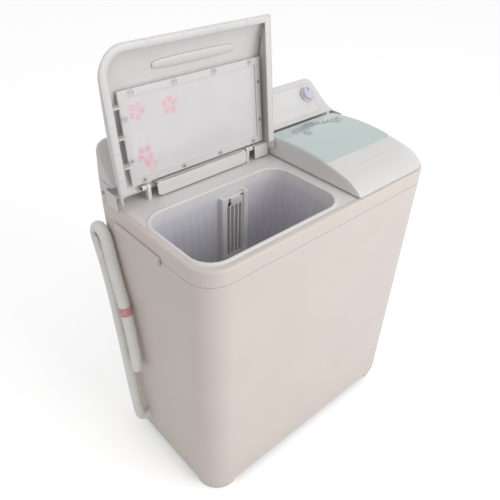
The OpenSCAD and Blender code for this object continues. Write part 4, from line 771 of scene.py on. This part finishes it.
lathe = np.array([[0.1, 1.9], [20.6, 1.9], [21.7, 2.5], [22, 3.6], [21.8, 5], [20.8, 6], [19.4, 6.6], [18.8, 8], [18.6, 12],
                  [18.3, 15], [17.6, 16.8], [16.2, 17.7], [14, 18], [7, 17.4], [0.1, 17.2]])
turn = np.arange(144) / 144 * 2 * math.pi
grip = np.exp(-((lathe[:, 1] - 11.5) / 4) ** 2)[:, None] * (lathe[:, :1] > 18)
radius = lathe[:, :1] - 0.5 * grip * (0.5 + 0.5 * np.cos(36 * turn))[None]
knob_grid = np.stack([radius * np.cos(turn), radius * np.sin(turn), np.broadcast_to(lathe[:, 1:], radius.shape)], -1)
for name, x in KNOBS.items():
    knob_mesh = grid_mesh(name + "_turned", knob_grid)
    knob_mesh.transform(at_knob(x))
    finish_piece(name + "_turned", knob_mesh, knob_abs, body_of_node[name], [name])
    pointer = block("pointer", -0.9, 0.9, 5, 17.5, 17, 18.6, 0.4, 0.7)
    pointer.transform(at_knob(x))
    finish_piece(name + "_pointer", pointer, dial_ink, body_of_node[name])

# %% Dials
def number(value, x, y, size):
    """A plain number as a thin mesh."""
    text = bpy.data.curves.new("number", "FONT")
    text.body, text.size, text.extrude, text.align_x, text.align_y = str(value), size * MM, 0.08 * MM, "CENTER", "CENTER"
    holder = bpy.data.objects.new("number", text)
    mesh = bpy.data.meshes.new_from_object(holder)
    bpy.data.objects.remove(holder)
    mesh.transform(Matrix.Translation((x * MM, y * MM, 0.95 * MM)))
    return mesh


for name, marks in (("wash_timer_knob", (0, 3, 6, 9, 12, 15)), ("spin_timer_knob", (0, 1, 2, 3, 4, 5)), ("drain_knob", (1, 2))):
    reach = math.radians(300 if len(marks) > 2 else 90)
    signs = []
    for k, value in enumerate(marks):
        a = math.pi / 2 - reach * k / (len(marks) - 1)
        signs.append(number(value, 30.5 * math.cos(a), 30.5 * math.sin(a), 6.0))
    for a in (math.pi / 2 - reach * np.linspace(0, 1, 3 * len(marks) - 2)).tolist():
        tick = block("tick", -0.35, 0.35, 23.6, 26.2, 0.75, 0.95, 0.05, 0.2)
        tick.transform(Matrix.Rotation(a - math.pi / 2, 4, "Z"))
        signs.append(tick)
    dial = joined(name + "_dial", signs)
    dial.transform(at_knob(KNOBS[name]))
    finish_piece(name + "_dial", dial, dial_ink, "machine")
print("dials", len(KNOBS))

# %% [markdown]
# ## Finishes of the CAD parts that stay
# Motors, pulleys, shafts and screws are right as they are. Each takes the finish of its material slot.

# %% Finishes by slot
finish_of_slot = {
    "body_plastic": body_pp, "frame_plastic": frame_abs, "lid_plastic": lid_abs, "knob_plastic": knob_abs,
    "window": window_sheet, "green_glass": green_glass, "tub_plastic": tub_pp, "white_plastic": inner_pp,
    "grey_plastic": grey_pp, "steel": zinc_steel, "dark_metal": painted_steel, "cast_metal": cast_alloy,
    "rubber": rubber, "hose_plastic": hose_pe, "tie_tape": tie_tape}
for name, part in frame["nodes"].items():
    part.data.materials.clear()
    part.data.materials.append(finish_of_slot[slot_of_node[name]])
print("CAD nodes given a finish", len(frame["nodes"]))

# %% [markdown]
# ## Floor, background and light
# The machine stands on a pale floor in a white room, under large soft lamps.

# %% Stage
floor_mesh = bpy.data.meshes.new("floor")
floor_mesh.from_pydata([(-8, -8, 0), (8, -8, 0), (8, 8, 0), (-8, 8, 0)], [], [(0, 1, 2, 3)])
floor = bpy.data.objects.new("floor", floor_mesh)
bpy.context.scene.collection.objects.link(floor)
floor_material, floor_tree, floor_shader, _ = new_material("pale_studio_floor")
floor_shader.inputs["Base Color"].default_value = linear("F4F4F4")
floor_shader.inputs["Roughness"].default_value = 0.9
seen = add(floor_tree, "LightPath")
lift = add(floor_tree, "Math", {0: seen.outputs["Is Camera Ray"], 1: 0.34}, operation="MULTIPLY")
floor_shader.inputs["Emission Color"].default_value = (1, 1, 1, 1)
floor_tree.links.new(lift.outputs[0], floor_shader.inputs["Emission Strength"])
floor_mesh.materials.append(floor_material)

world = bpy.data.worlds.new("studio")
bpy.context.scene.world = world
world.use_nodes = True
sky = world.node_tree
ray = add(sky, "LightPath")
glossy = add(sky, "Math", {0: ray.outputs["Is Camera Ray"], 1: ray.outputs["Is Glossy Ray"]}, operation="MAXIMUM")
open_ray = add(sky, "Math", {0: glossy.outputs[0], 1: ray.outputs["Is Transmission Ray"]}, operation="MAXIMUM")
level = add(sky, "MapRange", {"Value": open_ray.outputs[0], "To Min": 0.66, "To Max": 1.0})
sky.nodes["Background"].inputs["Color"].default_value = (1, 1, 1, 1)
sky.links.new(level.outputs["Result"], sky.nodes["Background"].inputs["Strength"])


def soft_lamp(name, place, aim, size, watts):
    """A square area lamp that faces its aim."""
    data = bpy.data.lights.new(name, "AREA")
    data.size = size
    data.energy = watts
    lamp = bpy.data.objects.new(name, data)
    lamp.location = place
    lamp.rotation_euler = (Vector(aim) - Vector(place)).to_track_quat("-Z", "Y").to_euler()
    bpy.context.scene.collection.objects.link(lamp)


soft_lamp("key", (0.9, -3.0, 1.9), (0, 0, 0.7), 2.2, 48)
soft_lamp("top", (0.3, -0.5, 3.2), (0, 0, 0.7), 2.0, 7)
bpy.context.scene.view_settings.view_transform = "Standard"
print("lamps set")
